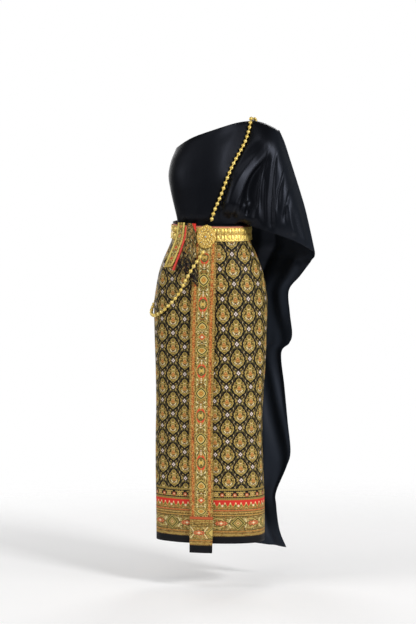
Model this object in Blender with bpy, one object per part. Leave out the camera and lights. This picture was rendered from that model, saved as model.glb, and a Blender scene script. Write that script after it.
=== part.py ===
"""Chut thai dress: one-shoulder satin top with a long train, brocade wrap skirt, plate belt and body chain.

Metres, +Z up.  The front faces -Y and +X is the wearer's left.
The origin is the centre of the waist, where the wearer holds the dress.
"""
import math

import bpy
import numpy as np

# ---------------------------------------------------------------- driving dimensions
SATIN_WALL = 0.0014        # thickness of the satin top
BROCADE_WALL = 0.0020      # thickness of the skirt cloth
PLEAT_WALL = 0.0012        # thickness of each folded layer
SEAM_GAP = 0.00035         # space left between pieces at a seam

WAIST_LIFT = 0.002         # height of the belt's middle plane at the origin
WAIST_TILT = 0.035         # fall of that plane towards +X
WAIST_DIP = 0.090          # fall of that plane towards the front
BELT_HEIGHT = 0.040
BELT_WALL = 0.0022
BELT_PLATES = 30
BELT_PLATE_RISE = 0.0012
BELT_CLEARANCE = 0.0014    # belt off the skirt
SKIRT_RIM_ABOVE_BELT = 0.008
SKIRT_HEM_Z = -0.921
SKIRT_SQUARENESS = 2.3     # superellipse exponent of the skirt's sections

PLEAT_LAYERS = 4
PLEAT_TOP_Z = -0.0310       # under the buckle, just below the belt
PLEAT_BOTTOM_Z = -0.948
PLEAT_LIFT = 0.0014        # innermost layer off the skirt

BUCKLE_CENTRE = (0.0080, -0.1020, -0.0130)
BUCKLE_HALF_WIDTH = 0.0275
BUCKLE_HALF_HEIGHT = 0.0340
BUCKLE_LOBES = 12
BUCKLE_TILT = 0.15         # radians, foot forward

BEAD_RADIUS = 0.0057
BEAD_PITCH = 0.0165
LINK_RADIUS = 0.0020
CHAIN_LIFT = 0.0064        # chain centreline off the cloth under it

# skirt sections, from the rim down
SKIRT = [  # z, centre_x, half_width, front_depth, back_depth
    (0.045, 0.002, 0.1160, 0.0890, 0.0885),
    (0.000, 0.002, 0.1165, 0.0895, 0.0890),
    (-0.020, 0.001, 0.1180, 0.0905, 0.0910),
    (-0.046, 0.000, 0.1280, 0.0970, 0.0990),
    (-0.075, 0.000, 0.1400, 0.1040, 0.1080),
    (-0.110, 0.000, 0.1530, 0.1095, 0.1180),
    (-0.145, 0.000, 0.1620, 0.1135, 0.1240),
    (-0.205, -0.001, 0.1705, 0.1165, 0.1265),
    (-0.300, -0.002, 0.1690, 0.1165, 0.1190),
    (-0.400, -0.002, 0.1655, 0.1140, 0.1090),
    (-0.510, -0.004, 0.1610, 0.1100, 0.1020),
    (-0.600, -0.005, 0.1610, 0.1070, 0.0990),
    (-0.700, -0.003, 0.1630, 0.1050, 0.0970),
    (-0.800, 0.000, 0.1645, 0.1035, 0.0960),
    (-0.930, 0.001, 0.1648, 0.1030, 0.0960),
]

# how far down from rim to hem each ring of the skirt lies
SKIRT_ROWS = (0, .017, .034, .051, .068, .09, .12, .155, .195, .245, .31, .39, .48, .58, .69, .80, .90, 1)

# front of the top: nine lines from the neckline and shoulder ridge down to the waist and cape hem.
# columns 0-5 are the bodice (side seam to chain line), 5-12 the shoulder drape (chain line to outer arm)
CHAIN_COLUMN = 5
FRONT = [  # (x, y, z) at each column
    [(-.106, .004, .247), (-.092, -.045, .254), (-.040, -.075, .280), (.028, -.077, .303), (.086, -.040, .324),
     (.121, .018, .333), (.131, .0245, .3325), (.143, .0275, .3305), (.156, .0285, .3270), (.169, .0275, .3215),
     (.182, .0250, .3155), (.195, .0200, .3085), (.206, .0130, .3010)],
    [(-.111, .004, .233), (-.097, -.051, .240), (-.047, -.085, .259), (.022, -.087, .280), (.082, -.052, .303),
     (.1205, -.004, .3270), (.1315, -.006, .3265), (.1435, -.006, .3245), (.1560, -.006, .3210), (.170, -.005, .3160),
     (.184, -.004, .3100), (.199, .000, .3020), (.212, .0135, .2900)],
    [(-.119, .004, .208), (-.106, -.062, .212), (-.060, -.098, .220), (.010, -.103, .235), (.066, -.080, .258),
     (.112, -.036, .272), (.126, -.041, .276), (.141, -.044, .277), (.157, -.044, .276), (.173, -.040, .274),
     (.189, -.033, .271), (.206, -.018, .268), (.2205, .0160, .265)],
    [(-.127, .004, .170), (-.113, -.066, .172), (-.070, -.108, .178), (-.005, -.114, .188), (.050, -.101, .205),
     (.092, -.070, .218), (.110, -.069, .222), (.130, -.063, .225), (.151, -.056, .227), (.173, -.050, .228),
     (.194, -.043, .229), (.216, -.026, .230), (.2315, .0185, .230)],
    [(-.121, .004, .130), (-.108, -.066, .130), (-.070, -.107, .134), (-.015, -.117, .140), (.033, -.111, .152),
     (.072, -.097, .166), (.095, -.093, .170), (.121, -.081, .174), (.147, -.067, .177), (.174, -.057, .180),
     (.201, -.050, .182), (.229, -.032, .183), (.2465, .0220, .183)],
    [(-.112, .004, .090), (-.100, -.062, .090), (-.065, -.098, .092), (-.022, -.110, .094), (.018, -.108, .100),
     (.050, -.101, .106), (.078, -.099, .112), (.110, -.088, .118), (.142, -.073, .122), (.176, -.063, .126),
     (.209, -.057, .128), (.244, -.037, .128), (.2640, .0260, .128)],
    [(-.104, .004, .055), (-.093, -.056, .055), (-.063, -.088, .054), (-.027, -.100, .052), (.004, -.1010, .053),
     (.030, -.0975, .062), (.063, -.098, .066), (.100, -.089, .069), (.137, -.077, .071), (.177, -.069, .072),
     (.217, -.062, .073), (.257, -.039, .072), (.2810, .0290, .071)],
    [(-.102, .004, .038), (-.090, -.0500, .036), (-.060, -.0745, .032), (-.027, -.0858, .029), (-.002, -.0866, .029),
     (.019, -.0858, .031), (.052, -.0820, .035), (.086, -.0755, .041), (.122, -.075, .040), (.160, -.071, .034),
     (.206, -.064, .022), (.261, -.034, .012), (.2960, .0320, .006)],
    [(-.100, .003, .025), (-.088, -.046, .021), (-.059, -.0715, .016), (-.028, -.0825, .012), (-.001, -.0832, .011),
     (.018, -.0825, .011), (.048, -.0775, .012), (.078, -.0610, .014), (.104, -.0520, .0275), (.143, -.0640, .0150),
     (.191, -.060, .000), (.263, -.022, -.028), (.3095, .0350, -.058)],
]

# soft folds of the shoulder drape, each running from the ridge to the hem of the FRONT patch
FRONT_FOLDS = [  # column_top, column_hem, width_top, width_hem, rise_top, rise_hem, start_row
    (5.7, 5.9, 0.30, 0.42, 0.0005, 0.0030, 2.5),
    (6.6, 6.9, 0.28, 0.40, 0.0012, -0.0035, 2.0),
    (7.3, 7.7, 0.26, 0.38, 0.0014, 0.0045, 1.2),
    (8.0, 8.6, 0.28, 0.34, -0.0014, -0.0060, 1.2),
    (8.7, 9.3, 0.28, 0.36, 0.0016, 0.0060, 1.2),
    (9.4, 9.9, 0.28, 0.34, -0.0014, -0.0055, 1.2),
    (10.2, 10.6, 0.30, 0.36, 0.0014, 0.0050, 1.2),
    (11.0, 11.3, 0.26, 0.32, -0.0010, -0.0040, 1.6),
    (1.0, 1.3, 0.25, 0.30, 0.0000, 0.0018, 5.3),
    (2.4, 2.5, 0.25, 0.30, 0.0000, 0.0020, 5.3),
    (3.6, 3.7, 0.25, 0.30, 0.0000, 0.0018, 5.6),
]

# back panel and left flank of the bodice: rings from the top edge to the tucked-in waist edge
BACK_RINGS = [  # z_right, z_back, z_left, centre_x, half_width, back_depth, front_depth
    (0.247, 0.232, 0.205, 0.020, 0.1260, 0.0900, 0.070),
    (0.233, 0.222, 0.197, 0.0185, 0.1300, 0.0908, 0.073),
    (0.208, 0.200, 0.180, 0.016, 0.1350, 0.0915, 0.076),
    (0.170, 0.165, 0.150, 0.014, 0.1410, 0.0900, 0.080),
    (0.130, 0.128, 0.118, 0.013, 0.1340, 0.0865, 0.082),
    (0.090, 0.089, 0.084, 0.011, 0.1230, 0.0835, 0.080),
    (0.055, 0.055, 0.052, 0.008, 0.1120, 0.0820, 0.077),
    (0.038, 0.042, 0.032, 0.005, 0.1070, 0.0815, 0.075),
    (0.025, 0.029, 0.018, 0.004, 0.1040, 0.0805, 0.073),
]
BACK_START_DEG = 177.6     # right side seam
BACK_END_DEG = -52.0       # under the drape, left of the bust

# train: inner and outer edges from the shoulder ridge to the hem
TRAIN = [  # x_in, y_in, z_in, x_out, y_out, z_out, bulge_y, roundness
    (.121, .018, .333, .206, .013, .301, .001, 0.0),
    (.120, .056, .320, .214, .022, .286, .012, 0.6),
    (.110, .096, .270, .2210, .0165, .264, .010, 1.0),
    (.090, .1075, .195, .2430, .0225, .195, .004, 1.0),
    (.066, .1060, .110, .2700, .0285, .112, .006, 1.0),
    (.044, .1080, .040, .2920, .0330, .038, .008, 1.0),
    (.030, .1200, -.010, .3095, .0390, -.058, .012, 1.0),
    (.026, .1300, -.045, .2900, .0980, -.084, .014, 0.6),
    (.022, .1370, -.080, .2720, .1130, -.106, .014, 0.2),
    (.018, .1420, -.120, .2490, .1240, -.134, .014, 0.0),
    (.014, .1450, -.175, .2150, .1330, -.176, .012, 0.0),
    (.010, .1450, -.240, .2170, .1380, -.243, .010, 0.0),
    (.006, .1430, -.306, .2240, .1400, -.308, .008, 0.0),
    (.004, .1400, -.340, .2150, .1380, -.338, .008, 0.0),
    (.002, .1380, -.375, .1915, .1330, -.368, .008, 0.0),
    (.000, .1340, -.470, .2010, .1350, -.470, .008, 0.0),
    (-.004, .1300, -.575, .2110, .1370, -.575, .008, 0.0),
    (-.008, .1280, -.665, .2200, .1390, -.668, .008, 0.0),
    (-.010, .1270, -.715, .2070, .1360, -.717, .008, 0.0),
    (-.012, .1260, -.790, .1765, .1300, -.792, .008, 0.0),
    (-.014, .1250, -.835, .1770, .1300, -.833, .008, 0.0),
    (-.018, .1250, -.895, .1870, .1320, -.908, .008, 0.0),
    (-.022, .1250, -.935, .2075, .1360, -.962, .008, 0.0),
]

# long folds of the train
TRAIN_FOLDS = [  # across_top, across_hem, width, rise, first_row, last_row
    (0.16, 0.10, 0.055, 0.0075, 3.0, 22.0),
    (0.34, 0.27, 0.060, -0.0060, 4.0, 22.0),
    (0.50, 0.44, 0.060, 0.0110, 3.0, 22.0),
    (0.66, 0.60, 0.055, -0.0060, 5.0, 22.0),
    (0.80, 0.78, 0.060, 0.0080, 4.0, 15.0),
    (0.62, 0.98, 0.060, 0.0110, 12.0, 18.5),
    (0.60, 0.96, 0.060, -0.0070, 13.5, 19.5),
    (0.66, 0.84, 0.060, 0.0100, 18.0, 22.0),
    (0.93, 0.90, 0.045, -0.0060, 10.0, 14.0),
]

# front pleat: one narrow stack of folded layers
PLEAT = [  # z, left_x, right_x, layer_pitch
    (-0.027, -0.0290, 0.0385, 0.0018),
    (-0.110, -0.0290, 0.0390, 0.0018),
    (-0.230, -0.0330, 0.0375, 0.0019),
    (-0.420, -0.0375, 0.0330, 0.0020),
    (-0.560, -0.0395, 0.0290, 0.0021),
    (-0.750, -0.0390, 0.0300, 0.0023),
    (-0.948, -0.0395, 0.0260, 0.0026),
]
PLEAT_STEP = 0.0006        # each layer under the top one is this much further in at its folds

# striped cloth end folded over the belt
STRIP = [  # z, left_x, right_x, lift off the skirt
    (0.0290, -0.0835, -0.0600, 0.0080),
    (0.0100, -0.0865, -0.0605, 0.0086),
    (-0.0190, -0.0935, -0.0640, 0.0086),
    (-0.0500, -0.1050, -0.0740, 0.0076),
    (-0.0800, -0.1180, -0.0860, 0.0066),
    (-0.1030, -0.1280, -0.0985, 0.0062),
]
# red folded edge beside the strip
PIPING_RADIUS = 0.0024
PIPING = [  # x, z, lift
    (-0.0560, 0.0170, 0.0110),
    (-0.0572, 0.0000, 0.0112),
    (-0.0605, -0.0190, 0.0110),
    (-0.0675, -0.0450, 0.0092),
    (-0.0775, -0.0760, 0.0088),
    (-0.0915, -0.1120, 0.0084),
]
# gathered cloth end folded over the belt
BUNCH = [  # z_left, z_right, left_x, right_x, lift, fold_depth
    (0.0270, 0.0255, -0.0510, -0.0250, 0.0092, 0.0008),
    (0.0080, 0.0060, -0.0525, -0.0245, 0.0098, 0.0011),
    (-0.0190, -0.0240, -0.0545, -0.0240, 0.0120, 0.0018),
    (-0.0450, -0.0600, -0.0600, -0.0200, 0.0140, 0.0028),
    (-0.0720, -0.0980, -0.0685, -0.0160, 0.0145, 0.0036),
    (-0.0950, -0.1350, -0.0750, -0.0120, 0.0146, 0.0040),
    (-0.1080, -0.1640, -0.0790, -0.0130, 0.0146, 0.0042),
]
BUNCH_FOLDS = 3

# chain from under the buckle round the right hip: angle round the skirt (-90 is the front), height, extra lift
SWAG = [  # angle_deg, z, extra_lift
    (-89.0, -0.0530, 0.0095),
    (-92.6, -0.0810, 0.0165),
    (-97.2, -0.1100, 0.0195),
    (-102.2, -0.1410, 0.0165),
    (-107.8, -0.1710, 0.0070),
    (-115.2, -0.1980, 0.0014),
    (-124.4, -0.2210, 0.0008),
    (-135.6, -0.2390, 0.0006),
    (-150.0, -0.2480, 0.0006),
    (-168.0, -0.2400, 0.0006),
    (-184.0, -0.2160, 0.0006),
    (-200.0, -0.1830, 0.0006),
    (-214.0, -0.1450, 0.0006),
    (-226.0, -0.1080, 0.0006),
    (-236.0, -0.0720, 0.0014),
    (-243.0, -0.0430, 0.0040),
    (-248.0, -0.0150, 0.0055),
]
# the same chain up the back to the shoulder ridge
CHAIN_BACK = [  # x, y, z
    (-0.0335, 0.0985, 0.0180),
    (-0.0200, 0.0975, 0.0460),
    (-0.0020, 0.0935, 0.0800),
    (0.0200, 0.0955, 0.1200),
    (0.0420, 0.1000, 0.1560),
    (0.0660, 0.1110, 0.1950),
    (0.0900, 0.1170, 0.2280),
    (0.1060, 0.1120, 0.2600),
    (0.1170, 0.0960, 0.2930),
    (0.1240, 0.0720, 0.3210),
    (0.1270, 0.0480, 0.3355),
    (0.1275, 0.0250, 0.3400),
]

COLOURS = {  # linear red, green, blue, roughness, metallic
    "satin": (0.010, 0.012, 0.020, 0.32, 0.0),
    "brocade": (0.120, 0.095, 0.035, 0.55, 0.0),
    "pleat_brocade": (0.200, 0.150, 0.050, 0.55, 0.0),
    "striped_brocade": (0.330, 0.260, 0.080, 0.55, 0.0),
    "red_cloth": (0.620, 0.060, 0.035, 0.60, 0.0),
    "gathered_brocade": (0.110, 0.100, 0.040, 0.60, 0.0),
    "gilt": (0.800, 0.580, 0.170, 0.28, 1.0),
}


# ---------------------------------------------------------------- curves and patches
def spline(points, t):
    """Smooth curve through rows of numbers, t counted in rows."""
    p = np.asarray(points, float)
    n = len(p)
    p = np.concatenate([[2 * p[0] - p[1]], p, [2 * p[-1] - p[-2]]])
    t = np.clip(np.asarray(t, float), 0, n - 1)
    i = np.minimum(t.astype(int), n - 2)
    f = (t - i).reshape(t.shape + (1,) * (p.ndim - 1))
    a, b, c, d = p[i], p[i + 1], p[i + 2], p[i + 3]
    return 0.5 * (2 * b + (c - a) * f + (2 * a - 5 * b + 4 * c - d) * f ** 2 + (3 * b - a - 3 * c + d) * f ** 3)


def by_height(table, z):
    """Rows of a table read at heights z, the first column being height, falling."""
    t = np.asarray(table, float)
    at = np.interp(-np.asarray(z, float), -t[:, 0], np.arange(len(t)))
    return spline(t, at)


def normals(grid):
    """Unit normals of a grid of points, rows running down and columns to the right seen from outside."""
    du = np.gradient(grid, axis=1)
    dv = np.gradient(grid, axis=0)
    n = np.cross(dv, du)
    return n / np.linalg.norm(n, axis=2, keepdims=True)


def bump(distance, width):
    return np.exp(-(distance / width) ** 2)


def ease(x):
    x = np.clip(x, 0, 1)
    return x * x * (3 - 2 * x)


# ---------------------------------------------------------------- solids
def material(name):
    mat = bpy.data.materials.get(name)
    if mat is None:
        mat = bpy.data.materials.new(name)
        mat.use_nodes = True
        red, green, blue, rough, metal = COLOURS[name]
        shader = mat.node_tree.nodes["Principled BSDF"]
        shader.inputs["Base Color"].default_value = (red, green, blue, 1)
        shader.inputs["Roughness"].default_value = rough
        shader.inputs["Metallic"].default_value = metal
    return mat


def solid(name, points, faces, slot):
    mesh = bpy.data.meshes.new(name)
    mesh.from_pydata([tuple(p) for p in points], [], faces)
    mesh.materials.append(material(slot))
    mesh.update()
    obj = bpy.data.objects.new(name, mesh)
    bpy.context.scene.collection.objects.link(obj)
    return obj


def wall(name, outer, thickness, slot, closed=False, inner=None):
    """Cloth of even thickness under a grid of outer points; closed joins the last column to the first."""
    if inner is None:
        inner = outer - normals(outer) * thickness
    rows, cols = outer.shape[:2]
    count = rows * cols
    points = np.concatenate([outer.reshape(-1, 3), inner.reshape(-1, 3)])
    faces = []
    for r in range(rows - 1):
        for c in range(cols if closed else cols - 1):
            d = (c + 1) % cols
            a, b, e, f = r * cols + c, (r + 1) * cols + c, (r + 1) * cols + d, r * cols + d
            faces.append((a, b, e, f))
            faces.append((count + a, count + f, count + e, count + b))
    for c in range(cols if closed else cols - 1):
        d = (c + 1) % cols
        top, low = c, (rows - 1) * cols
        faces.append((top, d, count + d, count + top))
        faces.append((low + d, low + c, count + low + c, count + low + d))
    if not closed:
        for r in range(rows - 1):
            a, b = r * cols, (r + 1) * cols
            faces.append((b, a, count + a, count + b))
            a, b = a + cols - 1, b + cols - 1
            faces.append((a, b, count + b, count + a))
    return solid(name, points, faces, slot)


def pull_in(grid, side, amount):
    """Draw one side of a grid back along its surface to leave the seam gap."""
    g = grid.copy()
    edge, inside = {"left": (g[:, 0], g[:, 1]), "right": (g[:, -1], g[:, -2]),
                    "top": (g[0], g[1]), "bottom": (g[-1], g[-2])}[side]
    step = inside - edge
    edge += step / np.linalg.norm(step, axis=1, keepdims=True) * amount
    return g


def square_cut(outer, inner, top=False, column=None, above=None):
    """Cut a satin panel square where it turns over the shoulder (its top row) and over the arm (one column)."""
    if column is not None:
        over = outer[:, column, 2] > above
        inner[over, column] = outer[over, column] - np.array((SATIN_WALL, 0, 0))
    if top:
        inner[0] = outer[0] - np.array((0, 0, SATIN_WALL))
        back = math.copysign(SEAM_GAP / 2, outer[1, 0, 1] - outer[0, 0, 1])
        outer[0, :, 1] += back
        inner[0, :, 1] = outer[0, :, 1]


def tube(name, path, radii, sides, slot):
    """Closed rod of round section along a path, one radius for each point."""
    path = np.asarray(path, float)
    tangent = np.gradient(path, axis=0)
    tangent /= np.linalg.norm(tangent, axis=1, keepdims=True)
    side = np.cross(tangent[0], (0.3, 0.5, 0.8))
    rings = []
    for p, t, r in zip(path, tangent, radii):
        side = side - t * side.dot(t)
        side /= np.linalg.norm(side)
        other = np.cross(t, side)
        rings.append([p + r * (side * math.cos(a) + other * math.sin(a))
                      for a in np.linspace(0, 2 * math.pi, sides, endpoint=False)])
    points = [q for ring in rings for q in ring]
    faces = []
    for i in range(len(rings) - 1):
        for k in range(sides):
            m = (k + 1) % sides
            faces.append((i * sides + k, i * sides + m, (i + 1) * sides + m, (i + 1) * sides + k))
    faces.append(tuple(reversed(range(sides))))
    faces.append(tuple((len(rings) - 1) * sides + k for k in range(sides)))
    return solid(name, points, faces, slot)


# ---------------------------------------------------------------- forms
def waist_plane(x, y):
    """Height of the belt's middle plane."""
    return WAIST_LIFT - WAIST_TILT * x + WAIST_DIP * y


def skirt_at(angle, z, lift=0.0):
    """Point on the skirt's outer face, angle in radians, -pi/2 being the front."""
    angle, z = np.broadcast_arrays(np.asarray(angle, float), np.asarray(z, float))
    row = by_height(SKIRT, z)
    c, s = np.cos(angle), np.sin(angle)
    power = 2 / SKIRT_SQUARENESS
    depth = np.where(s < 0, row[..., 3], row[..., 4])
    x = row[..., 1] + (row[..., 2] + lift) * np.sign(c) * np.abs(c) ** power
    y = (depth + lift) * np.sign(s) * np.abs(s) ** power
    return np.stack([x, y, z], axis=-1)


def skirt_front_y(x, z, lift):
    """Depth of the skirt's front at x and z, moved out by lift."""
    row = by_height(SKIRT, z)
    reach = np.clip(np.abs(x - row[..., 1]) / (row[..., 2] + lift), 0, 0.999)
    return -(row[..., 3] + lift) * (1 - reach ** SKIRT_SQUARENESS) ** (1 / SKIRT_SQUARENESS)


def rim_angles(start, end, count):
    """Angles spaced by length round the hip section rather than by turn."""
    fine = np.linspace(start, end, 400)
    p = skirt_at(fine, -0.2)
    run = np.concatenate([[0], np.cumsum(np.linalg.norm(np.diff(p, axis=0), axis=1))])
    return np.interp(np.linspace(0, run[-1], count), run, fine)


def skirt_grids(start, end, cols):
    """Outer and inner faces of one skirt panel, clear of the seams."""
    angle = rim_angles(start, end, cols)
    grid = []
    for f in SKIRT_ROWS:
        top = np.full(cols, 0.03)
        for _ in range(4):
            p = skirt_at(angle, top)
            top = waist_plane(p[:, 0], p[:, 1]) + BELT_HEIGHT / 2 + SKIRT_RIM_ABOVE_BELT
        z = top + (SKIRT_HEM_Z - top) * f
        grid.append((skirt_at(angle, z), skirt_at(angle, z, -BROCADE_WALL)))
    outer, inner = np.swapaxes(np.array(grid), 0, 1)
    for face in (outer, inner):
        face[:, 0, 1] += SEAM_GAP / 2 * np.sign(face[:, 1, 1])
        face[:, -1, 1] += SEAM_GAP / 2 * np.sign(face[:, -2, 1])
    return outer, inner


def front_grid(rows, bodice_cols, drape_cols):
    """Front of the top, with its folds raised."""
    table = np.asarray(FRONT, float)
    last = table.shape[1] - 1
    u = np.concatenate([np.linspace(0, CHAIN_COLUMN, bodice_cols),
                        np.linspace(CHAIN_COLUMN, last, drape_cols)[1:]])
    v = np.linspace(0, len(table) - 1, rows)
    down = spline(table, v)
    grid = np.swapaxes(spline(np.swapaxes(down, 0, 1), u), 0, 1)
    s = v[:, None] / (len(table) - 1)
    rise = np.zeros((rows, len(u)))
    for top, hem, w_top, w_hem, r_top, r_hem, start in FRONT_FOLDS:
        centre = top + (hem - top) * s
        width = w_top + (w_hem - w_top) * s
        height = r_top + (r_hem - r_top) * s
        shown = ease((v[:, None] - start) / 1.2) * (1 - ease((v[:, None] - 6.0) / 0.8) * (hem < 9))
        rise += height * shown * bump(u[None] - centre, width)
    return grid + normals(grid) * rise[..., None], u


def bodice_back_grid(rows, cols):
    table = spline(BACK_RINGS, np.linspace(0, len(BACK_RINGS) - 1, rows))
    angle = np.radians(np.linspace(BACK_START_DEG, BACK_END_DEG, cols))
    grid = []
    for z_right, z_back, z_left, cx, half, back, front in table:
        c, s = np.cos(angle), np.sin(angle)
        f = (np.pi - angle) / np.pi
        z = z_right + (z_back - z_right) * ease(2 * f) + (z_left - z_back) * ease(2 * f - 1)
        x = cx + half * np.sign(c) * np.abs(c) ** 0.92
        y = np.where(s > 0, back, front) * np.sign(s) * np.abs(s) ** 0.92
        grid.append(np.stack([x, y, z], axis=-1))
    return np.array(grid)[:, ::-1]


def train_grid(rows, cols):
    v = np.linspace(0, len(TRAIN) - 1, rows)
    u = np.linspace(0, 1, cols)
    table = spline(TRAIN, v)
    arm_line = spline(np.asarray(FRONT, float)[:, -1], np.linspace(0, len(FRONT) - 1, 200))[::-1]
    over_arm = table[:, 5] > arm_line[0, 2]
    for column in (0, 1):
        read = np.interp(table[:, 5], arm_line[:, 2], arm_line[:, column])
        table[:, 3 + column] = np.where(over_arm, read + SEAM_GAP * column, table[:, 3 + column])
    grid = np.zeros((rows, cols, 3))
    for i, (xi, yi, zi, xo, yo, zo, bulge, rounded) in enumerate(table):
        arch = 1 - (1 - np.clip(u, 0, 1) ** 3.2) ** (1 / 2.2)
        across = u * (1 - rounded) + arch * rounded
        sweep = u * (1 - 0.12 * rounded) + 0.12 * rounded * np.sin(u * np.pi / 2)
        grid[i, :, 0] = xi + (xo - xi) * sweep
        grid[i, :, 1] = yi + (yo - yi) * across + bulge * np.sin(np.pi * u)
        grid[i, :, 2] = zi + (zo - zi) * u
    rise = np.zeros((rows, cols))
    for top, hem, width, height, first, last in TRAIN_FOLDS:
        f = np.clip((v - first) / (last - first), 0, 1)[:, None]
        shown = ease((v - first) / 2.0 + 0.1) * (1 - ease((v - last) / 1.5)) if last < 22 else ease((v - first) / 2.5)
        rise += height * shown[:, None] * bump(u[None] - (top + (hem - top) * f), width)
    grid[0] = spline(FRONT[0], CHAIN_COLUMN + u * (len(FRONT[0]) - 1 - CHAIN_COLUMN))
    edge = ease(u / 0.06)[None] * ease((1 - u) / 0.06)[None]
    grid[1:, :, 1] += (rise * (0.35 + 0.65 * edge))[1:]
    return grid[:, ::-1]


def pleat_grid():
    """Folded stack seen as one sheet: layers run from the skirt outwards, turning at each fold."""
    front_rim = waist_plane(0, -SKIRT[0][3]) + BELT_HEIGHT / 2 + SKIRT_RIM_ABOVE_BELT
    heights = [PLEAT_TOP_Z] + [front_rim + (SKIRT_HEM_Z - front_rim) * f for f in SKIRT_ROWS[4:]] + [PLEAT_BOTTOM_Z]
    grid = []
    for z in heights:
        _, left, right, pitch = by_height(PLEAT, z)
        line = []
        for layer in range(PLEAT_LAYERS):
            inset = PLEAT_STEP * (PLEAT_LAYERS - 1 - layer)
            ends = (left + inset, right - inset)
            if layer % 2 == PLEAT_LAYERS % 2:
                ends = ends[::-1]
            lift = PLEAT_LIFT + PLEAT_WALL + layer * pitch
            for x in np.linspace(ends[0], ends[1], 4):
                line.append((x, skirt_front_y(x, z, lift), z))
            if layer < PLEAT_LAYERS - 1:
                out = math.copysign(pitch * 0.5 + PLEAT_STEP, ends[1] - ends[0])
                x = ends[1] + out
                line.append((x, skirt_front_y(ends[1], z, lift + pitch / 2), z))
        grid.append(line)
    return np.array(grid)


def folded_wall(name, middle, thickness, slot):
    """Sheet given by its middle surface, folded back on itself, half its thickness each way."""
    along = np.gradient(middle, axis=1)
    side = np.stack([along[..., 1], -along[..., 0], np.zeros(along.shape[:2])], axis=-1)
    side /= np.linalg.norm(side, axis=2, keepdims=True)
    return wall(name, middle + side * thickness / 2, thickness, slot, inner=middle - side * thickness / 2)


def strip_grid(rows, cols):
    table = spline(STRIP, np.linspace(0, len(STRIP) - 1, rows))
    return np.array([[(x, skirt_front_y(x, z, lift), z) for x in np.linspace(left, right, cols)]
                     for z, left, right, lift in table])


def bunch_grid(rows, cols):
    table = spline(BUNCH, np.linspace(0, len(BUNCH) - 1, rows))
    u = np.linspace(0, 1, cols)
    grid = []
    for z_left, z_right, left, right, lift, depth in table:
        x = left + (right - left) * u
        z = z_left + (z_right - z_left) * u ** 1.3
        y = skirt_front_y(x, z, lift) + depth * np.cos(2 * np.pi * BUNCH_FOLDS * u + 0.6)
        grid.append(np.stack([x, y, z], axis=-1))
    return np.array(grid)


def belt_grids():
    """Outer and inner faces of the belt, with a plate raised on every division."""
    angles = rim_angles(-math.pi / 2, 1.5 * math.pi, BELT_PLATES + 1)[:-1]
    step = 2 * math.pi / BELT_PLATES
    cols = []
    for i, a in enumerate(angles):
        b = angles[i + 1] if i + 1 < len(angles) else angles[0] + 2 * math.pi
        cols += [(a, 0), (a + (b - a) * 0.08, 1), (a + (b - a) * 0.92, 1)]
    outer, inner = [], []
    for height, raised in ((0.5, 0), (0.44, 1), (-0.44, 1), (-0.5, 0)):
        line_out, line_in = [], []
        for a, plate in cols:
            p = skirt_at(a, 0.0)
            z = waist_plane(p[0], p[1]) + height * BELT_HEIGHT
            inside = BELT_CLEARANCE
            line_in.append(skirt_at(a, z, inside))
            line_out.append(skirt_at(a, z, inside + BELT_WALL + BELT_PLATE_RISE * plate * raised))
        outer.append(line_out)
        inner.append(line_in)
    return np.array(outer), np.array(inner)


def buckle():
    """Lobed domed plate."""
    rings = [(0.00, 0.0125), (0.16, 0.0118), (0.20, 0.0088), (0.46, 0.0092), (0.52, 0.0064), (0.80, 0.0062),
             (0.88, 0.0040), (1.00, 0.0034)]
    sides = BUCKLE_LOBES * 4
    cx, cy, cz = BUCKLE_CENTRE
    points, faces = [], []
    for radius, height in rings:
        for k in range(1 if radius == 0 else sides):
            a = 2 * math.pi * k / sides
            lobe = 1 + 0.035 * math.cos(BUCKLE_LOBES * a) * (radius > 0.75)
            points.append((cx + BUCKLE_HALF_WIDTH * radius * lobe * math.cos(a), cy - height,
                           cz + BUCKLE_HALF_HEIGHT * radius * lobe * math.sin(a)))
    for k in range(sides):
        faces.append((0, 1 + k, 1 + (k + 1) % sides))
    for r in range(1, len(rings) - 1):
        a, b = 1 + (r - 1) * sides, 1 + r * sides
        for k in range(sides):
            m = (k + 1) % sides
            faces.append((a + k, b + k, b + m, a + m))
    edge = 1 + (len(rings) - 2) * sides
    back = len(points)
    for k in range(sides):
        x, _, z = points[edge + k]
        points.append((x, cy, z))
    for k in range(sides):
        m = (k + 1) % sides
        faces.append((edge + k, back + k, back + m, edge + m))
    faces.append(tuple(reversed(range(back, back + sides))))
    points = np.array(points)
    points[:, 1] += BUCKLE_TILT * (points[:, 2] - cz)
    return solid("belt_buckle", points, faces, "gilt")


def chain(name, path):
    """Beads on a link wire along a path."""
    path = spline(path, np.linspace(0, len(path) - 1, 600))
    run = np.concatenate([[0], np.cumsum(np.linalg.norm(np.diff(path, axis=0), axis=1))])
    beads = max(1, round(run[-1] / BEAD_PITCH))
    stations = np.linspace(0, run[-1], 2 * beads + 1)
    points = np.stack([np.interp(stations, run, path[:, i]) for i in range(3)], axis=1)
    radii = [BEAD_RADIUS if i % 2 else LINK_RADIUS for i in range(len(stations))]
    return tube(name, points, radii, 6, "gilt")


# ---------------------------------------------------------------- build
for obj in list(bpy.data.objects):
    bpy.data.objects.remove(obj, do_unlink=True)

for name, start, end, cols in (("skirt_front", -math.pi, 0.0, 21), ("skirt_back", 0.0, math.pi, 19)):
    outer, inner = skirt_grids(start, end, cols)
    wall(name, outer, BROCADE_WALL, "brocade", inner=inner)

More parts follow.
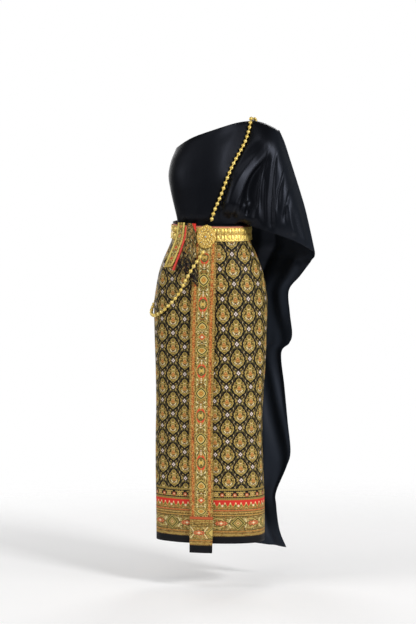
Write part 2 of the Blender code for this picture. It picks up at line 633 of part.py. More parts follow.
BODICE_COLS, DRAPE_COLS, FRONT_ROWS = 12, 26, 17
front, front_u = front_grid(FRONT_ROWS, BODICE_COLS, DRAPE_COLS)
split = BODICE_COLS - 1
arm_hem = FRONT[-1][-1][2]
front_inner = front - normals(front) * SATIN_WALL
across = normals(front)[:, split]
across = np.cross(across, np.gradient(front, axis=0)[:, split])
across *= SEAM_GAP / 2 / np.linalg.norm(across, axis=1, keepdims=True)
for name, part, seam in (("bodice_front", slice(0, split + 1), -1), ("shoulder_drape", slice(split, None), 0)):
    outer, inner = front[:, part].copy(), front_inner[:, part].copy()
    away = np.sign(((outer[:, seam] - outer[:, 1 if seam == 0 else -2]) * across).sum(axis=1))[:, None]
    if seam == 0:
        square_cut(outer, inner, True, -1, arm_hem - 1)
    else:
        outer[:, 0, 1] -= SEAM_GAP
        inner[:, 0, 1] -= SEAM_GAP
    outer[:, seam] -= across * away
    inner[:, seam] -= across * away
    wall(name, outer, SATIN_WALL, "satin", inner=inner)
wall("bodice_back", bodice_back_grid(9, 24), SATIN_WALL, "satin")
outer = train_grid(40, 20)
inner = outer - normals(outer) * SATIN_WALL
square_cut(outer, inner, True, 0, arm_hem)
wall("train", outer, SATIN_WALL, "satin", inner=inner)

folded_wall("front_pleat", pleat_grid(), PLEAT_WALL, "pleat_brocade")
wall("folded_end_strip", strip_grid(9, 5), PLEAT_WALL, "striped_brocade")
piping = spline(PIPING, np.linspace(0, len(PIPING) - 1, 12))
tube("folded_end_edge", [(x, float(skirt_front_y(x, z, lift)), z) for x, z, lift in piping],
     [PIPING_RADIUS] * 12, 6, "red_cloth")
wall("folded_end_gather", bunch_grid(9, 25), PLEAT_WALL, "gathered_brocade")

belt_outer, belt_inner = belt_grids()
wall("belt", belt_outer, BELT_WALL, "gilt", closed=True, inner=belt_inner)
buckle()

chain_line = front[:, split] + normals(front)[:, split] * CHAIN_LIFT
chain_line = chain_line[chain_line[:, 2] > 0.026]
ridge = np.array([(0.1275, 0.0185, 0.3402)])
chain("chain_front", np.concatenate([ridge, chain_line[1:]]))
swag = [skirt_at(math.radians(a), z, CHAIN_LIFT + extra) for a, z, extra in SWAG]
chain("chain_round", np.concatenate([swag, CHAIN_BACK]))
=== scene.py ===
import math

import bpy
import numpy as np
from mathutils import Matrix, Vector


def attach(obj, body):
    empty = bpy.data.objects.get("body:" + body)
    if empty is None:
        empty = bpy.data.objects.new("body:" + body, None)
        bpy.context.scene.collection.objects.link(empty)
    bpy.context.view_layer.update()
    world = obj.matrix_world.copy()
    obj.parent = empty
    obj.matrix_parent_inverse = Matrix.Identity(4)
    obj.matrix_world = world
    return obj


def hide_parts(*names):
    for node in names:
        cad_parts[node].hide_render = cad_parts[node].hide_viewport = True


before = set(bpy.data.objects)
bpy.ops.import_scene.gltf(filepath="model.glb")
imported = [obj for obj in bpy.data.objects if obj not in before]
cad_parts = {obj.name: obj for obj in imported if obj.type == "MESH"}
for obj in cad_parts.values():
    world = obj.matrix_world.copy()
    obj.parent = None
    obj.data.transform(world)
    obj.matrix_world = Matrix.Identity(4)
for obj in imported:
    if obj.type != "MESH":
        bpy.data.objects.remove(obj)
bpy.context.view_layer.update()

# ---------------------------------------------------------------- the part's own dimensions
SATIN_WALL = 0.0014
BROCADE_WALL = 0.0020
PLEAT_WALL = 0.0012
WAIST_LIFT = 0.002
WAIST_TILT = 0.035
WAIST_DIP = 0.090
BELT_HEIGHT = 0.040
BELT_WALL = 0.0022
BELT_PLATES = 30
BELT_CLEARANCE = 0.0014
SKIRT_RIM_ABOVE_BELT = 0.008
SKIRT_HEM_Z = -0.921
SKIRT_SQUARENESS = 2.3
HIP_Z = -0.2
PLEAT_LAYERS = 4
PLEAT_TOP_Z = -0.0310
PLEAT_BOTTOM_Z = -0.948
PLEAT_LIFT = 0.0014
PLEAT_STEP = 0.0006
BUCKLE_CENTRE = (0.0080, -0.1020, -0.0130)
BUCKLE_HALF_WIDTH = 0.0275
BUCKLE_HALF_HEIGHT = 0.0340
BUCKLE_LOBES = 12
BUCKLE_TILT = 0.15
BEAD_RADIUS = 0.0057
BEAD_PITCH = 0.0165
CHAIN_LIFT = 0.0064
CHAIN_SHOULDER = (0.1275, 0.0185, 0.3402)
CHAIN_FRONT_FOOT_Z = 0.026
PIPING_RADIUS = 0.0024
BUNCH_FOLDS = 3
BUNCH_SMALL_FOLDS = 7

# sizes on which the patterns of the narrow cloths are drawn
PLEAT_WIDTH = 0.069
PLEAT_FOOT_WIDTH = 0.067
STRIP_WIDTH = 0.026
STRIP_LENGTH = 0.138
MEDALLION_PITCH = 0.066

# rows and columns of points
FRONT_ROWS, BODICE_COLS, DRAPE_COLS, TRAIN_ROWS, BACK_COLS = 120, 46, 104, 130, 110
SKIRT_ROWS, SKIRT_COLS = 150, 120
PLEAT_ROWS, TOP_LAYER_COLS, UNDER_LAYER_COLS = 230, 26, 8
STRIP_ROWS, STRIP_COLS = 60, 26
BUNCH_ROWS, BUNCH_COLS = 110, 150
PLATE_COLS, BELT_ROWS = 20, 31
BUCKLE_RINGS, BUCKLE_SIDES = 84, 24 * BUCKLE_LOBES
CORD_POINTS = 60
FLOOR_RINGS, FLOOR_SIDES = 12, 96

# camera, floor and light
CAMERA_PLACE = (1.23925, -5.87063, -0.01)
CAMERA_PITCH_DEG, CAMERA_YAW_DEG = 2.18382, 12.0
LENS_MM, SENSOR_MM = 115.468, 36.0
FLOOR_Z = -1.06
FLOOR_RADIUS = 2.8
WHITE_CAST = 0.11  # light that the surround casts
WHITE_SEEN = 0.89  # added to it where the camera sees the surround
LAMPS = (  # name, place, height aimed at, width, depth, watts
    ("key", (4.2, -3.5, 2.5), -0.3, 1.3, 1.3, 200),
    ("front", (-0.4, -2.8, 5.0), -0.2, 3.0, 2.0, 50),
    ("left", (-2.8, -5.4, 0.2), -0.3, 2.4, 2.4, 20),
    ("right", (5.8, -1.6, 1.0), -0.2, 2.6, 2.6, 95),
    ("side", (-4.6, -3.4, 1.8), -0.3, 3.6, 3.6, 130),
    ("back", (-3.0, 3.6, 1.0), -0.2, 2.4, 2.4, 70),
    ("rear", (0.8, 4.6, 2.6), -0.2, 2.0, 2.0, 60),
)

# skirt sections, from the rim down
SKIRT = [  # z, centre_x, half_width, front_depth, back_depth
    (0.045, 0.002, 0.1160, 0.0890, 0.0885),
    (0.000, 0.002, 0.1165, 0.0895, 0.0890),
    (-0.020, 0.001, 0.1180, 0.0905, 0.0910),
    (-0.046, 0.000, 0.1280, 0.0970, 0.0990),
    (-0.075, 0.000, 0.1400, 0.1040, 0.1080),
    (-0.110, 0.000, 0.1530, 0.1095, 0.1180),
    (-0.145, 0.000, 0.1620, 0.1135, 0.1240),
    (-0.205, -0.001, 0.1705, 0.1165, 0.1265),
    (-0.300, -0.002, 0.1690, 0.1165, 0.1190),
    (-0.400, -0.002, 0.1655, 0.1140, 0.1090),
    (-0.510, -0.004, 0.1610, 0.1100, 0.1020),
    (-0.600, -0.005, 0.1610, 0.1070, 0.0990),
    (-0.700, -0.003, 0.1630, 0.1050, 0.0970),
    (-0.800, 0.000, 0.1645, 0.1035, 0.0960),
    (-0.930, 0.001, 0.1648, 0.1030, 0.0960),
]

# front of the top: nine lines from the neckline and shoulder ridge down to the waist and cape hem.
# columns 0-5 are the bodice (side seam to chain line), 5-12 the shoulder drape (chain line to outer arm)
CHAIN_COLUMN = 5
FRONT = [  # (x, y, z) at each column
    [(-.106, .004, .247), (-.092, -.045, .254), (-.040, -.075, .280), (.028, -.077, .303),
     (.086, -.040, .324), (.121, .018, .333), (.131, .0245, .3325), (.143, .0275, .3305),
     (.156, .0285, .3270), (.169, .0275, .3215), (.182, .0250, .3155), (.195, .0200, .3085),
     (.206, .0130, .3010)],
    [(-.111, .004, .233), (-.097, -.051, .240), (-.047, -.085, .259), (.022, -.087, .280),
     (.082, -.052, .303), (.1205, -.004, .3270), (.1315, -.006, .3265), (.1435, -.006, .3245),
     (.1560, -.006, .3210), (.170, -.005, .3160), (.184, -.004, .3100), (.199, .000, .3020),
     (.212, .0135, .2900)],
    [(-.119, .004, .208), (-.106, -.062, .212), (-.060, -.098, .220), (.010, -.103, .235),
     (.066, -.080, .258), (.112, -.036, .272), (.126, -.041, .276), (.141, -.044, .277),
     (.157, -.044, .276), (.173, -.040, .274), (.189, -.033, .271), (.206, -.018, .268),
     (.2205, .0160, .265)],
    [(-.127, .004, .170), (-.113, -.066, .172), (-.070, -.108, .178), (-.005, -.114, .188),
     (.050, -.101, .205), (.092, -.070, .218), (.110, -.069, .222), (.130, -.063, .225),
     (.151, -.056, .227), (.173, -.050, .228), (.194, -.043, .229), (.216, -.026, .230),
     (.2315, .0185, .230)],
    [(-.121, .004, .130), (-.108, -.066, .130), (-.070, -.107, .134), (-.015, -.117, .140),
     (.033, -.111, .152), (.072, -.097, .166), (.095, -.093, .170), (.121, -.081, .174),
     (.147, -.067, .177), (.174, -.057, .180), (.201, -.050, .182), (.229, -.032, .183),
     (.2465, .0220, .183)],
    [(-.112, .004, .090), (-.100, -.062, .090), (-.065, -.098, .092), (-.022, -.110, .094),
     (.018, -.108, .100), (.050, -.101, .106), (.078, -.099, .112), (.110, -.088, .118),
     (.142, -.073, .122), (.176, -.063, .126), (.209, -.057, .128), (.244, -.037, .128),
     (.2640, .0260, .128)],
    [(-.104, .004, .055), (-.093, -.056, .055), (-.063, -.088, .054), (-.027, -.100, .052),
     (.004, -.1010, .053), (.030, -.0975, .062), (.063, -.098, .066), (.100, -.089, .069),
     (.137, -.077, .071), (.177, -.069, .072), (.217, -.062, .073), (.257, -.039, .072),
     (.2810, .0290, .071)],
    [(-.102, .004, .038), (-.090, -.0500, .036), (-.060, -.0745, .032), (-.027, -.0858, .029),
     (-.002, -.0866, .029), (.019, -.0858, .031), (.052, -.0820, .035), (.086, -.0755, .041),
     (.122, -.075, .040), (.160, -.071, .034), (.206, -.064, .022), (.261, -.034, .012),
     (.2960, .0320, .006)],
    [(-.100, .003, .025), (-.088, -.046, .021), (-.059, -.0715, .016), (-.028, -.0825, .012),
     (-.001, -.0832, .011), (.018, -.0825, .011), (.048, -.0775, .012), (.078, -.0610, .014),
     (.104, -.0520, .0275), (.143, -.0640, .0150), (.191, -.060, .000), (.263, -.022, -.028),
     (.3095, .0350, -.058)],
]

FOLD_POINTS = 60
FOLD_END_FADE = 0.006
# soft folds of the top seen from the front, each a path of (x, z) running down: the cloth slopes
# gently over left_width before it and right_width after it; start is its share of size at its head
DRAPE_FOLDS = [  # path, left_width, right_width, start, rise, fade_in, fade_out, flat_top
    (((.2000, .2900), (.1700, .2420), (.1360, .1950), (.1080, .1450), (.0920, .1000), (.0780, .0400)),
     .0420, .0330, .35, .0220, .95, .16, 1),
    (((.1950, .2420), (.1680, .2040), (.1440, .1700), (.1330, .1365), (.1300, .0938), (.1330, .0300)),
     .0130, .0480, .30, -.0210, .25, .25, 0),
    (((.0960, .2450), (.0830, .1965), (.0693, .1374), (.0556, .0810), (.0375, .0300)),
     .0240, .0160, .60, -.0040, .25, .15, 0),
    (((.1850, .2450), (.1658, .1687), (.1588, .1076), (.1600, .0150)),
     .0110, .0080, .20, .0060, .10, .15, 0),
    (((.1760, .1700), (.1740, .1100), (.1780, .0100)), .0100, .0100, .30, -.0040, .20, .15, 0),
    (((.2080, .2500), (.2004, .1662), (.1973, .0777), (.1987, -.0050)),
     .0180, .0120, .30, -.0110, .20, .12, 0),
    (((.2330, .2050), (.2247, .1559), (.2156, .1115), (.2120, .0400)),
     .0070, .0130, .40, -.0100, .20, .30, 0),
    (((.2560, .1550), (.2420, .0948), (.2300, .0200)), .0080, .0150, .40, -.0120, .30, .25, 0),
    (((.2380, .1100), (.2450, .0500), (.2560, -.0150)), .0120, .0170, .40, .0090, .30, .15, 0),
    (((.2640, .0900), (.2740, .0300), (.2860, -.0400)), .0140, .0120, .40, .0060, .30, .15, 0),
    (((.1120, .1250), (.0980, .0813), (.0760, .0380)), .0100, .0080, .40, -.0050, .40, .20, 0),
    (((.0980, .1000), (.0860, .0680), (.0680, .0380)), .0090, .0080, .40, .0040, .40, .20, 0),
    (((.1400, .0950), (.1220, .0760), (.1120, .0420)), .0110, .0100, .50, .0070, .35, .30, 0),
    (((.1260, .0800), (.1240, .0420)), .0100, .0100, 1.0, -.0080, .45, .45, 0),
    (((.1500, .0850), (.1480, .0300)), .0110, .0100, .60, .0060, .40, .25, 0),
    (((.0520, .0800), (.0450, .0350)), .0080, .0080, .50, .0034, .50, .25, 0),
    (((-.0760, .1000), (-.0700, .0300)), .0090, .0090, .50, .0024, .50, .25, 0),
    (((-.0560, .0900), (-.0540, .0300)), .0090, .0090, .50, .0022, .50, .25, 0),
    (((-.0200, .0900), (-.0190, .0300)), .0090, .0090, .50, .0020, .50, .25, 0),
]

# back panel and left flank of the bodice: rings from the top edge to the tucked-in waist edge
BACK_RINGS = [  # z_right, z_back, z_left, centre_x, half_width, back_depth, front_depth
    (0.247, 0.232, 0.205, 0.020, 0.1260, 0.0900, 0.070),
    (0.233, 0.222, 0.197, 0.0185, 0.1300, 0.0908, 0.073),
    (0.208, 0.200, 0.180, 0.016, 0.1350, 0.0915, 0.076),
    (0.170, 0.165, 0.150, 0.014, 0.1410, 0.0900, 0.080),
    (0.130, 0.128, 0.118, 0.013, 0.1340, 0.0865, 0.082),
    (0.090, 0.089, 0.084, 0.011, 0.1230, 0.0835, 0.080),
    (0.055, 0.055, 0.052, 0.008, 0.1120, 0.0820, 0.077),
    (0.038, 0.042, 0.032, 0.005, 0.1070, 0.0815, 0.075),
    (0.025, 0.029, 0.018, 0.004, 0.1040, 0.0805, 0.073),
]
BACK_START_DEG = 177.6     # right side seam
BACK_END_DEG = -52.0       # under the drape, left of the bust
BACK_ROUNDNESS = 0.92

TRAIN_ARM_ROW = 6          # row where the train leaves the outer arm
# train: inner and outer edges from the shoulder ridge to the hem
TRAIN = [  # x_in, y_in, z_in, x_out, y_out, z_out, bulge_y, roundness
    (.121, .018, .333, .206, .013, .301, .001, 0.0),
    (.120, .056, .320, .214, .022, .286, .012, 0.6),
    (.110, .096, .270, .2210, .0165, .264, .010, 1.0),
    (.090, .1075, .195, .2430, .0225, .195, .004, 1.0),
    (.066, .1060, .110, .2700, .0285, .112, .006, 1.0),
    (.044, .1080, .040, .2920, .0330, .038, .008, 1.0),
    (.030, .1200, -.010, .3095, .0390, -.058, .012, 1.0),
    (.026, .1300, -.045, .2900, .0980, -.084, .014, 0.6),
    (.022, .1370, -.080, .2720, .1130, -.106, .014, 0.2),
    (.018, .1420, -.120, .2490, .1240, -.134, .014, 0.0),
    (.014, .1450, -.175, .2150, .1330, -.176, .012, 0.0),
    (.010, .1450, -.240, .2170, .1380, -.243, .010, 0.0),
    (.006, .1430, -.306, .2240, .1400, -.308, .008, 0.0),
    (.004, .1400, -.340, .2150, .1380, -.338, .008, 0.0),
    (.002, .1380, -.375, .1915, .1330, -.368, .008, 0.0),
    (.000, .1340, -.470, .2010, .1350, -.470, .008, 0.0),
    (-.004, .1300, -.575, .2110, .1370, -.575, .008, 0.0),
    (-.008, .1280, -.665, .2200, .1390, -.668, .008, 0.0),
    (-.010, .1270, -.715, .2070, .1360, -.717, .008, 0.0),
    (-.012, .1260, -.790, .1765, .1300, -.792, .008, 0.0),
    (-.014, .1250, -.835, .1770, .1300, -.833, .008, 0.0),
    (-.018, .1250, -.895, .1870, .1320, -.908, .008, 0.0),
    (-.022, .1250, -.935, .2075, .1360, -.962, .008, 0.0),
]

# long folds of the train
TRAIN_FOLDS = [  # across_top, across_hem, width, rise, first_row, last_row
    (0.16, 0.10, 0.055, 0.0070, 3.0, 22.0),
    (0.34, 0.27, 0.060, -0.0060, 4.0, 22.0),
    (0.50, 0.44, 0.060, 0.0100, 3.0, 22.0),
    (0.64, 0.60, 0.060, -0.0045, 8.0, 22.0),
    (0.78, 0.86, 0.080, -0.0100, 6.0, 10.5),
    (0.62, 0.72, 0.110, -0.0100, 14.5, 21.0),
    (0.74, 0.96, 0.070, 0.0060, 10.0, 15.0),
    (0.72, 1.00, 0.060, -0.0060, 13.5, 17.0),
    (0.66, 1.00, 0.080, 0.0080, 14.5, 19.0),
    (0.70, 0.86, 0.060, 0.0080, 18.0, 22.0),
]

# front pleat: one narrow stack of folded layers
PLEAT = [  # z, left_x, right_x, layer_pitch
    (-0.027, -0.0290, 0.0385, 0.0018),
    (-0.110, -0.0290, 0.0390, 0.0018),
    (-0.230, -0.0330, 0.0375, 0.0019),
    (-0.420, -0.0375, 0.0330, 0.0020),
    (-0.560, -0.0395, 0.0290, 0.0021),
    (-0.750, -0.0390, 0.0300, 0.0023),
    (-0.948, -0.0395, 0.0260, 0.0026),
]

# striped cloth end folded over the belt
STRIP = [  # z, left_x, right_x, lift off the skirt
    (0.0290, -0.0835, -0.0600, 0.0080),
    (0.0100, -0.0865, -0.0605, 0.0086),
    (-0.0190, -0.0935, -0.0640, 0.0086),
    (-0.0500, -0.1050, -0.0740, 0.0076),
    (-0.0800, -0.1180, -0.0860, 0.0066),
    (-0.1030, -0.1280, -0.0985, 0.0062),
]
# red folded edge beside the strip
PIPING = [  # x, z, lift
    (-0.0560, 0.0170, 0.0110),
    (-0.0572, 0.0000, 0.0112),
    (-0.0605, -0.0190, 0.0110),
    (-0.0675, -0.0450, 0.0092),
    (-0.0775, -0.0760, 0.0088),
    (-0.0915, -0.1120, 0.0084),
]
# gathered cloth end folded over the belt
BUNCH = [  # z_left, z_right, left_x, right_x, lift, fold_depth
    (0.0270, 0.0255, -0.0510, -0.0250, 0.0092, 0.0008),
    (0.0080, 0.0060, -0.0525, -0.0245, 0.0098, 0.0011),
    (-0.0190, -0.0240, -0.0545, -0.0240, 0.0120, 0.0018),
    (-0.0450, -0.0600, -0.0600, -0.0200, 0.0140, 0.0028),
    (-0.0720, -0.0980, -0.0685, -0.0160, 0.0145, 0.0036),
    (-0.0950, -0.1350, -0.0750, -0.0120, 0.0146, 0.0040),
    (-0.1080, -0.1640, -0.0790, -0.0130, 0.0146, 0.0042),
]

# chain from under the buckle round the right hip; an angle of -90 is the front
SWAG = [  # angle_deg, z, extra_lift
    (-89.0, -0.0530, 0.0095),
    (-92.6, -0.0810, 0.0165),
    (-97.2, -0.1100, 0.0195),
    (-102.2, -0.1410, 0.0165),
    (-107.8, -0.1710, 0.0070),
    (-115.2, -0.1980, 0.0014),
    (-124.4, -0.2210, 0.0008),
    (-135.6, -0.2390, 0.0006),
    (-150.0, -0.2480, 0.0006),
    (-168.0, -0.2400, 0.0006),
    (-184.0, -0.2160, 0.0006),
    (-200.0, -0.1830, 0.0006),
    (-214.0, -0.1450, 0.0006),
    (-226.0, -0.1080, 0.0006),
    (-236.0, -0.0720, 0.0014),
    (-243.0, -0.0430, 0.0040),
    (-248.0, -0.0150, 0.0055),
]
# the same chain up the back to the shoulder ridge
CHAIN_BACK = [  # x, y, z
    (-0.0335, 0.0985, 0.0180),
    (-0.0200, 0.0955, 0.0460),
    (-0.0020, 0.0900, 0.0800),
    (0.0200, 0.0920, 0.1200),
    (0.0420, 0.0950, 0.1560),
    (0.0660, 0.1060, 0.1950),
    (0.0900, 0.1170, 0.2280),
    (0.1060, 0.1120, 0.2600),
    (0.1170, 0.0960, 0.2930),
    (0.1240, 0.0720, 0.3210),
    (0.1270, 0.0480, 0.3355),
    (0.1275, 0.0250, 0.3400),
]

# lattice columns: how far round from the middle of the front each half repeat lies
COLUMNS = {  # side: (metres round, column number)
    "left": ((-0.040, -1), (0.0035, 0), (0.0400, 1), (0.0765, 2), (0.1148, 3), (0.1555, 4), (0.1985, 5),
             (0.6085, 15)),
    "right": ((-0.024, -1), (0.0155, 0), (0.0535, 1), (0.0915, 2), (0.1340, 3), (0.1760, 4), (0.5960, 14)),
}
# the cloth leans: how far the columns move round with height
LEAN = {  # side: (z, metres round)
    "left": ((-0.92, 0.0), (-0.54, 0.0), (-0.458, -0.004), (-0.370, -0.0095), (-0.286, -0.0135),
             (-0.200, -0.0165), (-0.110, -0.0270), (0.04, -0.040)),
    "right": ((-0.92, 0.0), (-0.20, 0.0), (-0.14, 0.008), (0.04, 0.020)),
}
FRONT_REACH = 0.20   # metres round from the middle of the front to where the repeats start to narrow
BACK_REACH = 0.462   # metres round to the middle of the back at the hips
BACK_SPREAD = 0.65   # share of the girth lost towards the waist that narrower repeats take up
LATTICE_ROWS = (  # row number, height left of the wearer's middle, height right of it
    (-4, 0.066, 0.026), (0, -0.108, -0.138), (2, -0.196, -0.2145), (4, -0.285, -0.2975),
    (6, -0.373, -0.3792), (8, -0.457, -0.4587), (10, -0.538, -0.5377), (12, -0.6175, -0.6122),
    (14, -0.695, -0.6893), (15, -0.733, -0.729), (17, -0.810, -0.806),
)
# height of each medallion down the pleat: whole numbers are ovals when even, diamonds when odd
MEDALLIONS = (  # number, z
    (-2, -0.004), (0, -0.0726), (1, -0.1402), (2, -0.2116), (3, -0.2802), (4, -0.3079), (5, -0.3462),
    (6, -0.4073), (7, -0.4748), (8, -0.5401), (9, -0.6099), (10, -0.6797), (11, -0.7514), (12, -0.7917),
    (13, -0.8234), (14, -0.870), (16, -0.96),
)

# buckle: how far it stands out, its flowers and its beads; half is 0.5 where a ring is turned half a step
BUCKLE_PROFILE = (  # radius, height
    (0.00, 0.0108), (0.16, 0.0102), (0.22, 0.0086), (0.34, 0.0092), (0.50, 0.0078), (0.70, 0.0066),
    (0.88, 0.0046), (1.00, 0.0032),
)
BUCKLE_FLOWERS = (  # ring, count, half, size, petals
    (0.00, 1, 0.0, 0.170, 8),
    (0.37, 8, 0.0, 0.135, 5),
    (0.66, 12, 0.5, 0.150, 6),
    (0.90, 24, 0.0, 0.095, 4),
)
BUCKLE_BEADS = (  # ring, count, half, height, bead_radius
    (0.800, 24, 0.5, 0.0066, 0.0014),
    (0.530, 16, 0.0, 0.0086, 0.0013),
    (0.235, 12, 0.0, 0.0094, 0.0011),
    (0.980, 36, 0.5, 0.0040, 0.0012),
)


# ---------------------------------------------------------------- curves and patches
def spline(points, t):
    """Smooth curve through rows of numbers, t counted in rows."""
    p = np.asarray(points, float)
    n = len(p)
    p = np.concatenate([[2 * p[0] - p[1]], p, [2 * p[-1] - p[-2]]])
    t = np.clip(np.asarray(t, float), 0, n - 1)
    i = np.minimum(t.astype(int), n - 2)
    f = (t - i).reshape(t.shape + (1,) * (p.ndim - 1))
    a, b, c, d = p[i], p[i + 1], p[i + 2], p[i + 3]
    bend, twist = 2 * a - 5 * b + 4 * c - d, 3 * b - a - 3 * c + d
    return 0.5 * (2 * b + (c - a) * f + bend * f ** 2 + twist * f ** 3)


def evenly(points, count):
    """Points spread evenly, by rows, along the smooth curve through a table."""
    return spline(points, np.linspace(0, len(points) - 1, count))


def by_height(table, z):
    """Rows of a table read at heights z, the first column being height, falling."""
    t = np.asarray(table, float)
    at = np.interp(-np.asarray(z, float), -t[:, 0], np.arange(len(t)))
    return spline(t, at)


def normals(grid):
    """Unit normals of a grid of points, rows running down and columns to the right seen from outside."""
    n = np.cross(np.gradient(grid, axis=0), np.gradient(grid, axis=1))
    return n / np.linalg.norm(n, axis=2, keepdims=True)


def run_along(points):
    """Length along a line from its first point to each."""
    return np.concatenate([[0], np.cumsum(np.linalg.norm(np.diff(points, axis=0), axis=1))])


def bump(distance, width):
    return np.exp(-(distance / width) ** 2)


def ease(x):
    x = np.clip(x, 0, 1)
    return x * x * (3 - 2 * x)


# ---------------------------------------------------------------- forms
def waist_plane(x, y):
    """Height of the belt's middle plane."""
    return WAIST_LIFT - WAIST_TILT * x + WAIST_DIP * y


def skirt_at(angle, z, lift=0.0):
    """Point on the skirt's outer face, angle in radians, -pi/2 being the front."""
    angle, z = np.broadcast_arrays(np.asarray(angle, float), np.asarray(z, float))
    row = by_height(SKIRT, z)
    c, s = np.cos(angle), np.sin(angle)
    power = 2 / SKIRT_SQUARENESS
    depth = np.where(s < 0, row[..., 3], row[..., 4])
    x = row[..., 1] + (row[..., 2] + lift) * np.sign(c) * np.abs(c) ** power
    y = (depth + lift) * np.sign(s) * np.abs(s) ** power
    return np.stack([x, y, z], axis=-1)


def skirt_front_y(x, z, lift):
    """Depth of the skirt's front at x and z, moved out by lift."""
    row = by_height(SKIRT, z)
    reach = np.clip(np.abs(x - row[..., 1]) / (row[..., 2] + lift), 0, 0.999)
    return -(row[..., 3] + lift) * (1 - reach ** SKIRT_SQUARENESS) ** (1 / SKIRT_SQUARENESS)


def rim_angles(start, end, count):
    """Angles spaced by length round the hip section rather than by turn."""
    fine = np.linspace(start, end, 400)
    run = run_along(skirt_at(fine, HIP_Z))
    return np.interp(np.linspace(0, run[-1], count), run, fine)


# ---------------------------------------------------------------- materials as expressions
def arithmetic(operation, swapped=False):
    """Method that joins a value to another value or a number by a maths node."""
    def method(self, other):
        return self.graph.math(operation, *((other, self) if swapped else (self, other)))
    return method


class Value:
    """A number, vector or colour carried by a material's nodes."""

    def __init__(self, graph, socket):
        self.graph, self.socket = graph, socket

    __add__ = arithmetic("ADD")
    __radd__ = arithmetic("ADD", swapped=True)
    __sub__ = arithmetic("SUBTRACT")
    __rsub__ = arithmetic("SUBTRACT", swapped=True)
    __mul__ = arithmetic("MULTIPLY")
    __rmul__ = arithmetic("MULTIPLY", swapped=True)
    __truediv__ = arithmetic("DIVIDE")

    def __abs__(self):
        return self.graph.math("ABSOLUTE", self)

    def beside(self, output):
        """Another output of the same node."""
        return Value(self.graph, self.socket.node.outputs[output])


def linear(tint):
    """Linear colour from display values 0 to 255; a value passes through."""
    if isinstance(tint, Value):
        return tint
    return tuple(c / 255 / 12.92 if c <= 10 else ((c / 255 + 0.055) / 1.055) ** 2.4 for c in tint)


